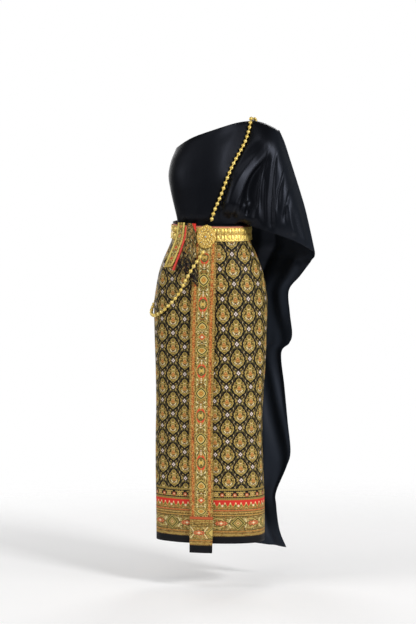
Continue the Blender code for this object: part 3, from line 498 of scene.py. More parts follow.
class Graph:
    """One material whose colour, gloss and relief are written as expressions.

    Colours given to mix, bands, mosaic, lay and rings are display values from 0 to 255.
    """

    def __init__(self, name):
        self.mat = bpy.data.materials.new(name)
        self.mat.use_nodes = True
        self.tree = self.mat.node_tree

    def put(self, socket, value):
        if isinstance(value, Value):
            self.tree.links.new(value.socket, socket)
        elif isinstance(value, tuple) and len(socket.default_value) == 4:
            socket.default_value = (*value, 1.0)
        else:
            socket.default_value = value

    def add(self, kind, inputs=(), output=0, **settings):
        """New node, its inputs in order or as a dict by place or name; the wanted output."""
        node = self.tree.nodes.new(kind)
        for key, value in settings.items():
            setattr(node, key, value)
        for place, value in inputs.items() if isinstance(inputs, dict) else enumerate(inputs):
            self.put(node.inputs[place], value)
        return Value(self, node.outputs[output])

    def math(self, operation, *values, clamp=False):
        return self.add("ShaderNodeMath", values, operation=operation, use_clamp=clamp)

    def least(self, first, *rest):
        for other in rest:
            first = self.math("MINIMUM", first, other)
        return first

    def power(self, value, exponent):
        return self.math("POWER", value, exponent)

    def root(self, value):
        return self.math("SQRT", value)

    def sin(self, value):
        return self.math("SINE", value)

    def fract(self, value):
        return self.math("FRACT", value)

    def centred(self, value, period, at=0.0):
        """Distance from the nearest repeat, from minus half a period to half a period."""
        return (self.fract((value - at) / period + 0.5) - 0.5) * period

    def ramp(self, low, high, value):
        """0 below low, 1 above high, smooth between; turned over where high is under low."""
        return self.add("ShaderNodeMapRange", (value, low, high), interpolation_type="SMOOTHSTEP")

    def under(self, value, limit, soft):
        return self.ramp(limit + soft, limit - soft, value)

    def between(self, value, low, high, soft):
        return self.ramp(low - soft, low + soft, value) * self.ramp(high + soft, high - soft, value)

    def blend(self, share, under, over):
        """Number under where share is 0, over where it is 1."""
        return under + (over - under) * share

    def split(self, vector):
        x = self.add("ShaderNodeSeparateXYZ", (vector,))
        return x, x.beside(1), x.beside(2)

    def join(self, x, y, z=0.0):
        return self.add("ShaderNodeCombineXYZ", (x, y, z))

    def attribute(self, name):
        return self.split(self.add("ShaderNodeAttribute", output="Vector", attribute_name=name))

    def position(self):
        return self.add("ShaderNodeTexCoord", output="Object")

    def stretch(self, vector, x, y, z):
        return self.add("ShaderNodeVectorMath", (vector, (x, y, z)), operation="MULTIPLY")

    def noise(self, vector, scale, detail):
        return self.add("ShaderNodeTexNoise", {"Vector": vector, "Scale": scale, "Detail": detail})

    def cells(self, vector, scale):
        """Distance from the heart of the nearest scattered cell."""
        return self.add("ShaderNodeTexVoronoi", {"Vector": vector, "Scale": scale}, "Distance")

    def mix(self, share, under, over):
        """Colour under where share is 0, over where it is 1."""
        inputs = {0: share, 6: linear(under), 7: linear(over)}
        return self.add("ShaderNodeMix", inputs, 2, data_type="RGBA")

    def bands(self, value, low, high, stops):
        """Colours that change at the given values, each (value, colour), from low up."""
        out = self.add("ShaderNodeValToRGB", (self.add("ShaderNodeMapRange", (value, low, high)),))
        ramp = out.socket.node.color_ramp
        ramp.interpolation = "CONSTANT"
        for i, (at, tint) in enumerate(stops):
            mark = ramp.elements[i] if i < len(ramp.elements) else ramp.elements.new(1.0)
            mark.position = (at - low) / (high - low)
            mark.color = (*linear(tint), 1)
        return out

    def mosaic(self, x, y, palette, pits=None):
        """Woven cells in colours drawn by chance from (share, colour) rows, x and y counted in cells.

        pits tints what lies far from a cell's heart: where it starts, where it is full, share, colour.
        """
        far = self.cells(self.join(x, y), 1.0)
        chance = self.add("ShaderNodeSeparateColor", (far.beside("Color"),))
        total = sum(share for share, _ in palette)
        stops = [(sum(share for share, _ in palette[:i]) / total, tint)
                 for i, (_, tint) in enumerate(palette)]
        threads = self.bands(chance, 0.0, 1.0, stops)
        if pits is None:
            return threads
        low, high, share, tint = pits
        return self.mix(self.ramp(low, high, far) * share, threads, tint)

    def lay(self, base, *layers):
        """Colours laid over base in turn, each where a distance is under a limit.

        A layer is distance, limit, softness, colour and, where it is laid in part, its share.
        """
        for distance, limit, soft, tint, *share in layers:
            where = self.under(distance, limit, soft)
            base = self.mix(where * share[0] if share else where, base, tint)
        return base

    def rings(self, base, distance, soft, *steps):
        """Nested shapes, the largest first, each (limit, colour)."""
        return self.lay(base, *((distance, limit, soft, tint) for limit, tint in steps))

    def bump(self, height, distance, strength, **under):
        """Relief; Normal=... is a coarser relief under it."""
        inputs = {"Height": height, "Distance": distance, "Strength": strength, **under}
        return self.add("ShaderNodeBump", inputs)

    def finish(self, **sockets):
        shader = self.tree.nodes["Principled BSDF"]
        for name, value in sockets.items():
            self.put(shader.inputs[name.replace("_", " ")], value)
        return self.mat


# ---------------------------------------------------------------- meshes
def faces_of(index, closed=False, flip=False):
    """Quads over a grid of point numbers."""
    right = np.roll(index, -1, axis=1) if closed else index[:, 1:]
    left = index if closed else index[:, :-1]
    quads = np.stack([left[:-1], left[1:], right[1:], right[:-1]], axis=-1).reshape(-1, 4)
    return quads[:, ::-1] if flip else quads


def numbered(rows, cols):
    """Point numbers of a grid."""
    return np.arange(rows * cols).reshape(rows, cols)


def shell(outer, thickness, closed=False, inner=None):
    """Points and quads of a closed thin wall under a grid of outer points."""
    if inner is None:
        inner = outer - normals(outer) * thickness
    out = numbered(*outer.shape[:2])
    inn = out + out.size
    quads = [faces_of(out, closed), faces_of(inn, closed, True)]
    quads.append(faces_of(np.stack([inn[0], out[0]]), closed))
    quads.append(faces_of(np.stack([out[-1], inn[-1]]), closed))
    if not closed:
        quads.append(faces_of(np.stack([inn[:, 0], out[:, 0]], axis=1)))
        quads.append(faces_of(np.stack([out[:, -1], inn[:, -1]], axis=1)))
    return np.concatenate([outer.reshape(-1, 3), inner.reshape(-1, 3)]), np.concatenate(quads)


def link(name, data):
    obj = bpy.data.objects.new(name, data)
    bpy.context.scene.collection.objects.link(obj)
    return obj


def piece(name, parts, material, **marks):
    """Smooth mesh object of several point and face sets; marks are named values kept at its points."""
    points = np.concatenate([p for p, _ in parts])
    faces, shift = [], 0
    for p, quads in parts:
        faces += [tuple(int(i) + shift for i in q) for q in quads]
        shift += len(p)
    mesh = bpy.data.meshes.new(name)
    mesh.from_pydata(points.tolist(), [], faces)
    for key, values in marks.items():
        values = np.asarray(values, float).reshape(len(points), -1)
        values = np.concatenate([values, np.zeros((len(points), 3 - values.shape[1]))], axis=1)
        mesh.attributes.new(key, "FLOAT_VECTOR", "POINT").data.foreach_set("vector", values.ravel())
    mesh.materials.append(material)
    mesh.polygons.foreach_set("use_smooth", [True] * len(mesh.polygons))
    mesh.update()
    return link(name, mesh)


def both(values):
    """The same marks on the outer and the inner face of a wall."""
    flat = np.asarray(values).reshape(-1, np.asarray(values).shape[-1])
    return np.concatenate([flat, flat])


def ball(centre, radius, rings, sides, flutes=0, depth=0.0, axis=(0, 0, 1), squash=1.0):
    """Bead, fluted between its poles."""
    centre = np.asarray(centre)
    axis = np.asarray(axis, float) / np.linalg.norm(axis)
    side = np.cross(axis, (0.31, 0.52, 0.79))
    side /= np.linalg.norm(side)
    other = np.cross(axis, side)
    points = [centre + axis * radius * squash]
    for ring in range(1, rings):
        lat = math.pi * ring / rings
        for k in range(sides):
            a = 2 * math.pi * k / sides
            reach = radius * (1 - depth * (0.5 - 0.5 * math.cos(flutes * a)) * math.sin(lat))
            points.append(centre + axis * radius * squash * math.cos(lat)
                          + reach * math.sin(lat) * (side * math.cos(a) + other * math.sin(a)))
    points.append(centre - axis * radius * squash)
    last = len(points) - 1
    faces = []
    for k in range(sides):
        m = (k + 1) % sides
        faces.append((0, 1 + k, 1 + m))
        faces.append((last, last - sides + m, last - sides + k))
    for start in range(1, 1 + (rings - 2) * sides, sides):
        for k in range(sides):
            m = (k + 1) % sides
            faces.append((start + k, start + sides + k, start + sides + m, start + m))
    return np.array(points), faces


def rod(path, radii, sides):
    """Closed round rod along a path."""
    path = np.asarray(path, float)
    radii = np.broadcast_to(np.asarray(radii, float), (len(path),))
    tangent = np.gradient(path, axis=0)
    tangent /= np.linalg.norm(tangent, axis=1, keepdims=True)
    side = np.cross(tangent[0], (0.3, 0.5, 0.8))
    points = []
    for p, t, r in zip(path, tangent, radii):
        side = side - t * side.dot(t)
        side /= np.linalg.norm(side)
        other = np.cross(t, side)
        points += [p + r * (side * math.cos(a) + other * math.sin(a))
                   for a in np.linspace(0, 2 * math.pi, sides, endpoint=False)]
    index = numbered(len(path), sides)
    return np.array(points), [*faces_of(index, True, True), index[0], index[-1][::-1]]


# ---------------------------------------------------------------- satin top
def tent(x):
    """Flat flanks that meet in a soft crest, from 1 in the middle to 0 at a distance of 1."""
    gap = 1.0 - np.sqrt(x * x + 0.03)
    return (gap + np.sqrt(gap * gap + 0.02)) * 0.5


def fold_rise(grid, folds):
    """How far soft folds lift a grid of points, each fold a path in the front view."""
    points = grid[..., [0, 2]]
    total = np.zeros(grid.shape[:2])
    for path, left, right, start, height, fade_in, fade_out, flat in folds:
        line = evenly(path, FOLD_POINTS)
        gap = points[:, :, None] - line
        near = (gap ** 2).sum(axis=3).argmin(axis=2)
        way = np.gradient(line, axis=0)[near]
        step = np.linalg.norm(way, axis=2)
        way = way / step[..., None]
        gap = np.take_along_axis(gap, near[..., None, None], axis=2)[:, :, 0]
        onward = (gap * way).sum(axis=2)
        across = gap[..., 1] * way[..., 0] - gap[..., 0] * way[..., 1]
        along = (near + np.clip(onward / step, -0.5, 0.5)) / (FOLD_POINTS - 1)
        beyond = np.maximum(abs(onward) - step, 0)
        grown = start + (1 - start) * along
        width = np.where(across < 0, left, right) * grown
        shown = ease(along / fade_in) * ease((1 - along) / fade_out) * bump(beyond, FOLD_END_FADE)
        lift = tent(across / width)
        total += height * grown * shown * (lift + (ease(1.5 * lift) - lift) * flat)
    return total


def front_grid():
    """Bodice front and shoulder drape as one grid, and the table row of each of its rows."""
    table = np.asarray(FRONT, float)
    u = np.concatenate([np.linspace(0, CHAIN_COLUMN, BODICE_COLS),
                        np.linspace(CHAIN_COLUMN, table.shape[1] - 1, DRAPE_COLS)[1:]])
    v = np.linspace(0, len(table) - 1, FRONT_ROWS)
    grid = np.swapaxes(spline(np.swapaxes(spline(table, v), 0, 1), u), 0, 1)
    return grid + normals(grid) * fold_rise(grid, DRAPE_FOLDS)[..., None], v


def bodice_back_grid(v):
    angle = np.radians(np.linspace(BACK_START_DEG, BACK_END_DEG, BACK_COLS))
    c, s = np.cos(angle), np.sin(angle)
    f = (np.pi - angle) / np.pi
    grid = []
    for z_right, z_back, z_left, centre, half, back, front in spline(BACK_RINGS, v):
        z = z_right + (z_back - z_right) * ease(2 * f) + (z_left - z_back) * ease(2 * f - 1)
        x = centre + half * np.sign(c) * np.abs(c) ** BACK_ROUNDNESS
        y = np.where(s > 0, back, front) * np.sign(s) * np.abs(s) ** BACK_ROUNDNESS
        grid.append(np.stack([x, y, z], axis=-1))
    return np.array(grid)[:, ::-1]


def train_grid(front):
    """Train from the shoulder ridge, its first rows matched to the front's outer arm edge."""
    arm = front[:, -1]
    hem = len(TRAIN) - 1
    fine = np.linspace(0, TRAIN_ARM_ROW, 2000)
    over = np.interp(-arm[:, 2], -spline(TRAIN, fine)[:, 5], fine)
    over[0], over[-1] = 0, TRAIN_ARM_ROW
    v = np.concatenate([over, np.linspace(TRAIN_ARM_ROW, hem, TRAIN_ROWS)[1:]])
    u = np.linspace(0, 1, DRAPE_COLS)
    table = spline(TRAIN, v)
    table[:FRONT_ROWS, 3:6] = arm
    grid = np.zeros((len(v), DRAPE_COLS, 3))
    for i, (xi, yi, zi, xo, yo, zo, bulge, rounded) in enumerate(table):
        arch = 1 - (1 - u ** 3.2) ** (1 / 2.2)
        across = u * (1 - rounded) + arch * rounded
        sweep = u * (1 - 0.12 * rounded) + 0.12 * rounded * np.sin(u * np.pi / 2)
        grid[i, :, 0] = xi + (xo - xi) * sweep
        grid[i, :, 1] = yi + (yo - yi) * across + bulge * np.sin(np.pi * u)
        grid[i, :, 2] = zi + (zo - zi) * u
    rise = np.zeros(grid.shape[:2])
    for top, foot, width, height, first, last in TRAIN_FOLDS:
        f = np.clip((v - first) / (last - first), 0, 1)[:, None]
        if last < hem:
            shown = ease((v - first) / 2.0 + 0.1) * (1 - ease((v - last) / 1.5))
        else:
            shown = ease((v - first) / 2.5)
        rise += height * shown[:, None] * bump(u[None] - (top + (foot - top) * f), width)
    inside = ease(u / 0.06)[None] * ease((1 - u) / 0.06)[None]
    grid[1:, :, 1] += (rise * (0.35 + 0.65 * inside))[1:]
    grid[0] = front[0, BODICE_COLS - 1:]
    return grid[:, ::-1]


def satin_top(material):
    """Bodice front, drape and train as one sheet, joined over the shoulder and down the outer arm."""
    front, v = front_grid()
    train = train_grid(front)
    index = numbered(*front.shape[:2])
    train_index = numbered(*train.shape[:2]) + index.size
    train_index[0] = index[0, BODICE_COLS - 1:][::-1]
    train_index[:FRONT_ROWS, 0] = index[:, -1]
    points = np.concatenate([front.reshape(-1, 3), train.reshape(-1, 3)])
    quads = np.concatenate([faces_of(index), faces_of(train_index)])
    used, quads = np.unique(quads, return_inverse=True)
    # how loosely the cloth hangs, and painted sheen: drape and train in the first mark, which hang loose and
    # are glossier; train and outer drape in the second, where the satin's colour is lightened as painted
    # sheen
    loose = np.zeros((len(points), 3))
    drape = loose[:index.size].reshape(front.shape)[:, BODICE_COLS - 1:]
    drape[..., 0], drape[..., 1] = 1, ease(np.linspace(-1, 0.75, DRAPE_COLS))
    loose[index.size:, :2] = 1
    obj = piece("satin_top", [(points[used], quads.reshape(-1, 4))], material, loose=loose[used])
    wall = obj.modifiers.new("wall", "SOLIDIFY")
    wall.thickness, wall.offset = SATIN_WALL, -1
    mesh = bpy.data.meshes.new_from_object(obj.evaluated_get(bpy.context.evaluated_depsgraph_get()))
    obj.modifiers.clear()
    obj.data = mesh
    return obj, front, v


# ---------------------------------------------------------------- brocade skirt
def skirt_panel(side):
    """Half the skirt from the middle of the front round to the middle of the back, with its pattern marks."""
    turn = 1 if side == "left" else -1
    angle = rim_angles(-math.pi / 2, -math.pi / 2 + turn * math.pi, SKIRT_COLS)
    at, number = zip(*COLUMNS[side])
    row_no, *heights = zip(*LATTICE_ROWS)
    drop = [-h for h in heights[0 if side == "left" else 1]]
    grid, lattice, band = [], [], []
    for f in np.linspace(0, 1, SKIRT_ROWS) ** 0.93:
        top = np.full(SKIRT_COLS, 0.03)
        for _ in range(4):
            p = skirt_at(angle, top)
            top = waist_plane(p[:, 0], p[:, 1]) + BELT_HEIGHT / 2 + SKIRT_RIM_ABOVE_BELT
        z = top + (SKIRT_HEM_Z - top) * f
        p = skirt_at(angle, z)
        run = run_along(p)
        lean = np.interp(z, *zip(*LEAN[side]))
        # past the front, part of the girth lost towards the waist is taken up by narrower repeats
        beyond = np.maximum(run - FRONT_REACH, 0)
        spread = beyond ** 2 * BACK_SPREAD * (BACK_REACH - run[-1]) / (run[-1] - FRONT_REACH) ** 2
        grid.append(p)
        column, row = np.interp(run - lean + spread, at, number), np.interp(-z, drop, row_no)
        lattice.append(np.stack([column, row], axis=-1))
        band.append(np.stack([run, z, top - z], axis=-1))
    grid, lattice, band = np.array(grid), np.array(lattice), np.array(band)
    # soft swing of the cloth, dying out towards the front pleat and the belt, and small tucks under the belt
    run, z = band[..., 0], band[..., 1]
    free = ease((run - 0.06) / 0.08) * ease((-0.10 - z) / 0.25)
    swing = 0.0016 * np.sin(run * 31 + z * 3.2 + turn) + 0.0010 * np.sin(run * 57 - z * 5.0)
    tucks = 0.0011 * ease((run - 0.05) / 0.04) * ease((-0.035 - z) / 0.02) * (1 - ease((-0.075 - z) / 0.16))
    tucks = tucks * np.sin(run * 190 + z * 18)
    out = free * swing + tucks - 0.0004
    if turn < 0:
        grid, lattice, band, out = grid[:, ::-1], lattice[:, ::-1], band[:, ::-1], out[:, ::-1]
    return grid + normals(grid) * out[..., None], lattice, band


def skirt(material):
    grids, lattices, bands = zip(*(skirt_panel(side) for side in ("right", "left")))
    return piece("wrap_skirt", [shell(grid, BROCADE_WALL) for grid in grids], material,
                 lattice=np.concatenate([both(lattice) for lattice in lattices]),
                 band=np.concatenate([both(band) for band in bands]))


# ---------------------------------------------------------------- front pleat
def pleat(material):
    """Stack of folded layers, drawn as one line that turns back and forth at each height."""
    number, at = zip(*MEDALLIONS)
    grid, panel = [], []
    for z in np.linspace(PLEAT_TOP_Z, PLEAT_BOTTOM_Z, PLEAT_ROWS):
        _, left, right, pitch = by_height(PLEAT, z)
        medallion = np.interp(-z, [-h for h in at], number)
        line, mark = [], []
        soft = 0.0005 * math.sin(z * 19) + 0.0004 * math.sin(z * 43 + 1)
        for layer in range(PLEAT_LAYERS):
            top = layer == PLEAT_LAYERS - 1
            inset = PLEAT_STEP * (PLEAT_LAYERS - 1 - layer)
            ends = (left + inset, right - inset)
            if layer % 2 == PLEAT_LAYERS % 2:
                ends = ends[::-1]
            lift = PLEAT_LIFT + PLEAT_WALL + layer * pitch
            for x in np.linspace(*ends, TOP_LAYER_COLS if top else UNDER_LAYER_COLS):
                across = (x - left) / (right - left)
                belly = 0.0012 * math.sin(math.pi * across) * top
                line.append((x, skirt_front_y(x, z, lift + belly + soft * top), z))
                mark.append((across, medallion, z))
            if top:
                continue
            for t in (0.25, 0.5, 0.75):
                out = math.copysign(pitch * 0.5 + PLEAT_STEP, ends[1] - ends[0]) * math.sin(math.pi * t)
                line.append((ends[1] + out, skirt_front_y(ends[1], z, lift + pitch * t), z))
                mark.append(((ends[1] - left) / (right - left), medallion, z))
        grid.append(line)
        panel.append(mark)
    middle = np.array(grid)
    along = np.gradient(middle, axis=1)
    side = np.stack([along[..., 1], -along[..., 0], np.zeros(along.shape[:2])], axis=-1)
    side = side / np.linalg.norm(side, axis=2, keepdims=True) * PLEAT_WALL / 2
    parts = [shell(middle + side, PLEAT_WALL, inner=middle - side)]
    return piece("front_pleat_cloth", parts, material, panel=both(panel))


# ---------------------------------------------------------------- folded cloth end at the belt
def strip(material):
    u = np.linspace(0, 1, STRIP_COLS)
    grid, mark = [], []
    for i, (z, left, right, lift) in enumerate(evenly(STRIP, STRIP_ROWS)):
        down = i / (STRIP_ROWS - 1)
        x = left + (right - left) * u
        y = skirt_front_y(x, z, lift + 0.0006 * np.sin(u * 9 + i * 0.05))
        grid.append(np.stack([x, y, z + 0.0035 * (u - 0.5) * down], axis=-1))
        mark.append(np.stack([u, np.full(STRIP_COLS, down * STRIP_LENGTH), np.full(STRIP_COLS, z)], axis=-1))
    return piece("folded_strip", [shell(np.array(grid), PLEAT_WALL)], material, panel=both(mark))


def gather(material):
    """Gathered end: deep folds that spread, cut ragged at the hem."""
    v = np.linspace(0, 1, BUNCH_ROWS)
    u = np.linspace(0, 1, BUNCH_COLS)
    ragged = (0.5 + 0.5 * np.sin(u * 37 + 1.2)) * 0.006 + (0.5 + 0.5 * np.sin(u * 83)) * 0.004
    grid, mark = [], []
    for t, (z_left, z_right, left, right, lift, depth) in zip(v, spline(BUNCH, v * (len(BUNCH) - 1))):
        x = left + (right - left) * u
        z = z_left + (z_right - z_left) * u ** 1.3 + ragged * ease((t - 0.55) / 0.45)
        small = np.cos(2 * np.pi * BUNCH_SMALL_FOLDS * u + 1.0 + 2 * t)
        fold = np.cos(2 * np.pi * BUNCH_FOLDS * u + 0.6) + 0.35 * t * small
        y = skirt_front_y(x, z, lift) + depth * fold * 0.9
        grid.append(np.stack([x, y, z], axis=-1))
        # the third mark is how far each fold stands out; the material darkens its hollows as painted shade
        mark.append(np.stack([u, np.full(BUNCH_COLS, t), fold], axis=-1))
    return piece("gathered_end", [shell(np.array(grid), PLEAT_WALL * 0.8)], material, panel=both(mark))


def red_edge(material):
    path = [(x, float(skirt_front_y(x, z, lift)), z) for x, z, lift in evenly(PIPING, CORD_POINTS)]
    wrinkle = 1 + 0.05 * np.sin(np.arange(CORD_POINTS) * 0.7)
    radii = PIPING_RADIUS * np.linspace(0.85, 1.75, CORD_POINTS) * wrinkle
    return piece("red_folded_edge", [rod(path, radii, 14)], material)


# ---------------------------------------------------------------- gilt pieces
def belt(material):
    """Plates with four bosses each between beaded bars, as relief over the belt's band."""
    corner = rim_angles(-math.pi / 2, 1.5 * math.pi, BELT_PLATES + 1)
    angles = np.concatenate([np.linspace(a, b, PLATE_COLS, endpoint=False)
                             for a, b in zip(corner[:-1], corner[1:])])
    s = np.tile(np.arange(PLATE_COLS) / PLATE_COLS, BELT_PLATES) * 2 - 1
    foot = skirt_at(angles, 0.0)
    outer, inner, mark = [], [], []
    for h in np.linspace(1, -1, BELT_ROWS):
        boss = np.zeros(len(s))
        for cs in (-0.40, 0.40):
            for ch in (-0.47, 0.47):
                r = np.hypot((s - cs) / 0.34, (h - ch) / 0.36)
                boss = np.maximum(boss, np.sqrt(np.clip(1 - r ** 2, 0, 1)))
        bars = bump(abs(s) - 0.86, 0.07) * 0.75 + bump(abs(h) - 0.93, 0.05) * 0.6
        beads = (0.35 * bump(abs(s) - 0.86, 0.08) * np.cos(h * 34)
                 + 0.3 * bump(abs(h) - 0.93, 0.06) * np.cos(s * 22))
        relief = np.clip(boss + bars + beads, 0, 1.4) - 0.7 * bump(1 - abs(s), 0.045)
        z = waist_plane(foot[:, 0], foot[:, 1]) + h * BELT_HEIGHT / 2
        inner.append(skirt_at(angles, z, BELT_CLEARANCE))
        outer.append(skirt_at(angles, z, BELT_CLEARANCE + BELT_WALL - 0.0002))
        # the relief mark also darkens the low gold as painted shade
        mark.append(np.stack([s, np.full(len(s), h), relief], axis=-1))
    outer, mark = np.array(outer), np.array(mark)
    outward = normals(np.concatenate([outer[:, -2:], outer, outer[:, :2]], axis=1))[:, 2:-2]
    outer = outer + outward * (mark[..., 2] * 0.0016)[..., None]
    return piece("plate_belt", [shell(outer, 0, True, np.array(inner))], material, relief=both(mark))


def buckle_disc(material):
    """Filigree rosette: a raised flower inside three rings of smaller ones."""
    cx, cy, cz = BUCKLE_CENTRE
    a = np.linspace(0, 2 * math.pi, BUCKLE_SIDES, endpoint=False)
    r = np.linspace(0.02, 1, BUCKLE_RINGS)
    flowers = [(ring, 2 * math.pi * (k + half) / count, size, petals)
               for ring, count, half, size, petals in BUCKLE_FLOWERS for k in range(count)]
    grid, mark = [], []
    for radius, h in zip(r, np.interp(r, *zip(*BUCKLE_PROFILE))):
        lobe = 1 + 0.035 * np.cos(BUCKLE_LOBES * a) * ease((radius - 0.6) / 0.3)
        x, y = radius * np.cos(a), radius * np.sin(a)
        work = np.zeros(BUCKLE_SIDES)
        for ring, angle, size, petals in flowers:
            dx, dy = x - ring * math.cos(angle), y - ring * math.sin(angle)
            far, turn = np.hypot(dx, dy) / size, np.arctan2(dy, dx) - angle
            leaf = np.clip(1 - (far / (0.72 + 0.28 * np.cos(petals * turn))) ** 2, 0, 1) ** 0.5
            work = np.maximum(work, leaf * (0.75 + 0.35 * bump(far, 0.30)))
        lift = 0.0017 * work - 0.0004
        grid.append(np.stack([cx + BUCKLE_HALF_WIDTH * radius * lobe * np.cos(a), cy - h - lift,
                              cz + BUCKLE_HALF_HEIGHT * radius * lobe * np.sin(a)], axis=-1))
        # the relief mark also darkens the gold between the flowers as painted shade
        mark.append(np.stack([np.full(BUCKLE_SIDES, radius), a, work], axis=-1))
    grid = np.array(grid)
    back = grid.copy()
    back[..., 1] = cy
    for face in (grid, back):
        face[..., 1] += BUCKLE_TILT * (face[..., 2] - cz)
    return piece("buckle_disc", [shell(grid, 0, True, back)], material, relief=both(mark))


def on_buckle(radius, angle, height):
    cx, cy, cz = BUCKLE_CENTRE
    x = cx + BUCKLE_HALF_WIDTH * radius * math.cos(angle)
    z = cz + BUCKLE_HALF_HEIGHT * radius * math.sin(angle)
    return x, cy - height + BUCKLE_TILT * (z - cz), z


def ring_of_balls(radius, count, half, height, size, sides):
    """Balls round the buckle, turned by half a step where half is 0.5."""
    return [ball(on_buckle(radius, 2 * math.pi * (k + half) / count, height), size, 8, sides)
            for k in range(count)]


def buckle_trim(gilt, stone):
    """Beads and stones set on the buckle."""
    beads = [bead for ring in BUCKLE_BEADS for bead in ring_of_balls(*ring, 10)]
    stones = ring_of_balls(0.66, 12, 0.5, 0.0086, 0.0013, 12)
    stones.append(ball(on_buckle(0.0, 0, 0.0120), 0.0026, 12, 20, squash=0.75, axis=(0, 1, 0.15)))
    return piece("buckle_beads", beads, gilt), piece("buckle_stones", stones, stone)


def beads_along(name, path, material):
    """Fluted beads with a collar at each end, strung on a thin cord."""
    path = evenly(path, 900)
    run = run_along(path)
    count = round(run[-1] / BEAD_PITCH)
    at = (np.arange(count) + 0.5) * run[-1] / count
    tangent = np.gradient(path, axis=0)
    spot, way = (np.stack([np.interp(at, run, rows[:, i]) for i in range(3)], axis=1)
                 for rows in (path, tangent))
    parts = []
    for p, t in zip(spot, way):
        t = t / np.linalg.norm(t)
        parts.append(ball(p, BEAD_RADIUS, 12, 24, flutes=12, depth=0.10, axis=t))
        for end in (-1, 1):
            collar = [p + t * end * (BEAD_RADIUS * k) for k in (0.86, 1.0, 1.14)]
            parts.append(rod(collar, [0.0024, 0.0029, 0.0022], 10))
    step = np.linspace(0, len(path) - 1, count * 6).astype(int)
    parts.append(rod(path[step], 0.0012, 6))
    print(name, "length", round(float(run[-1]), 3), "beads", count)
    return piece(name, parts, material)


# ---------------------------------------------------------------- colours, as display values
BLACK = (17, 17, 20)
INK = (24, 25, 30)
GOLD = (172, 152, 78)
DEEP_GOLD = (128, 108, 48)
OLIVE = (112, 112, 50)
GREEN = (70, 84, 48)
RUST = (186, 104, 52)
BROWN = (120, 62, 38)
RED = (218, 56, 44)
CREAM = (236, 222, 190)

# how softly woven edges change, in metres
SOFT = 0.0006
CRISP = 0.0005
BAND_EDGE = 0.0003

# bands of the hem and of the pleat's foot, each its lower edge and colour, from low up
HEM_BANDS = ((-0.93, BLACK), (-0.9007, BROWN), (-0.8894, DEEP_GOLD), (-0.8811, GREEN), (-0.8401, DEEP_GOLD),
             (-0.8264, RUST), (-0.8190, DEEP_GOLD), (-0.7913, GOLD), (-0.7854, BLACK), (-0.7643, GOLD))
HEM_STRIPES = (-0.8190, -0.8264, -0.8401, -0.8811, -0.8894, -0.9007, -0.7643, -0.7854)
HEM_PATTERN_Z = (-0.9007, -0.7913)
HEM_MEDALLIONS_Z = (-0.8811, -0.8401)
HEM_FLOWERS_Z = (-0.7854, -0.7643)
FOOT_BANDS = ((-0.96, BLACK), (-0.9262, BROWN), (-0.9150, DEEP_GOLD), (-0.9070, (84, 86, 44)),
              (-0.8690, DEEP_GOLD), (-0.8590, GOLD), (-0.8490, (186, 84, 52)), (-0.8400, GREEN))
FOOT_STRIPES = (-0.9262, -0.9150, -0.9070, -0.8690, -0.8590, -0.8490, -0.8400)
FOOT_PATTERN_Z = (-0.9262, -0.8490)
FOOT_BLOOM_Z = (-0.9070, -0.8690)
FOOT_RUST_Z = (-0.8490, -0.8400)
# how far under the waist a row's middle lies
FLOWERS_DOWN = 0.7749
MEDALLIONS_DOWN = 0.8606
BLOOM_DOWN = 0.8880
SMALL_FLOWERS_DOWN = (0.3079, 0.7917)

# threads of each weave: (share, colour)
RIB_THREADS = ((0.30, (20, 18, 17)), (0.12, (84, 66, 38)), (0.34, (178, 150, 80)), (0.10, (206, 186, 146)),
               (0.14, (98, 92, 44)))
LEAF_THREADS = ((0.20, (56, 46, 24)), (0.40, (190, 160, 84)), (0.16, (220, 196, 124)), (0.14, (136, 122, 56)),
                (0.10, (150, 96, 46)))
FIELD_THREADS = ((0.20, (66, 58, 30)), (0.26, (126, 112, 54)), (0.30, (184, 152, 80)),
                 (0.12, (222, 200, 138)), (0.12, (168, 100, 52)))
GOLD_THREADS = ((0.16, (82, 64, 30)), (0.30, (160, 126, 62)), (0.34, (198, 160, 82)), (0.12, (226, 200, 124)),
                (0.08, (150, 84, 44)))
RUST_THREADS = ((0.12, (120, 66, 36)), (0.34, (196, 116, 58)), (0.22, (216, 148, 78)), (0.16, (176, 90, 48)),
                (0.16, (196, 160, 88)))
BLOOM_THREADS = ((0.44, (216, 70, 50)), (0.24, (206, 120, 64)), (0.18, (232, 206, 140)),
                 (0.14, (110, 48, 30)))
STRIP_THREADS = ((0.16, (128, 104, 42)), (0.40, (206, 176, 84)), (0.30, (226, 198, 104)),
                 (0.14, (150, 128, 58)))
GATHER_THREADS = ((0.30, (30, 27, 22)), (0.16, (96, 92, 40)), (0.20, (168, 142, 74)), (0.12, (150, 84, 46)),
                  (0.10, (226, 212, 168)), (0.12, (70, 46, 30)))


# ---------------------------------------------------------------- materials
def satin():
    g = Graph("satin")
    at = g.position()
    thread = g.noise(g.stretch(at, 9000, 9000, 1400), 1.0, 1.0)
    cloud = g.noise(g.stretch(at, 9, 9, 5), 1.0, 3.0)
    crease = g.noise(g.stretch(at, 40, 40, 12), 1.0, 2.0)
    # in the photo the bodice is less shiny than the drape; the lighter colour of the train and outer drape is
    # painted sheen
    hanging, outer, _ = g.attribute("loose")
    # painted sheen: the second mark lightens the dark satin colour on the train and outer drape
    base = g.mix(outer, g.mix(cloud, (3, 4, 6), (8, 9, 13)), g.mix(cloud, (22, 26, 32), (31, 36, 44)))
    rough = g.blend(hanging, 0.46, 0.35) + thread * 0.07
    relief = g.bump(crease, 0.0010, 0.5, Normal=g.bump(thread, 0.00002, 0.3))
    return g.finish(Base_Color=base, Roughness=rough, Specular_Tint=(0.74, 0.80, 1.0),
                    Specular_IOR_Level=0.18, Normal=relief)


def threads(g, across, up):
    """Fine ribs both ways, from metres across and up the cloth."""
    ribs = g.sin(across * 1500.0) * 0.5 + 0.5
    weft = g.sin(up * 1100.0) * 0.5 + 0.5
    return ribs * 0.5 + weft * 0.5


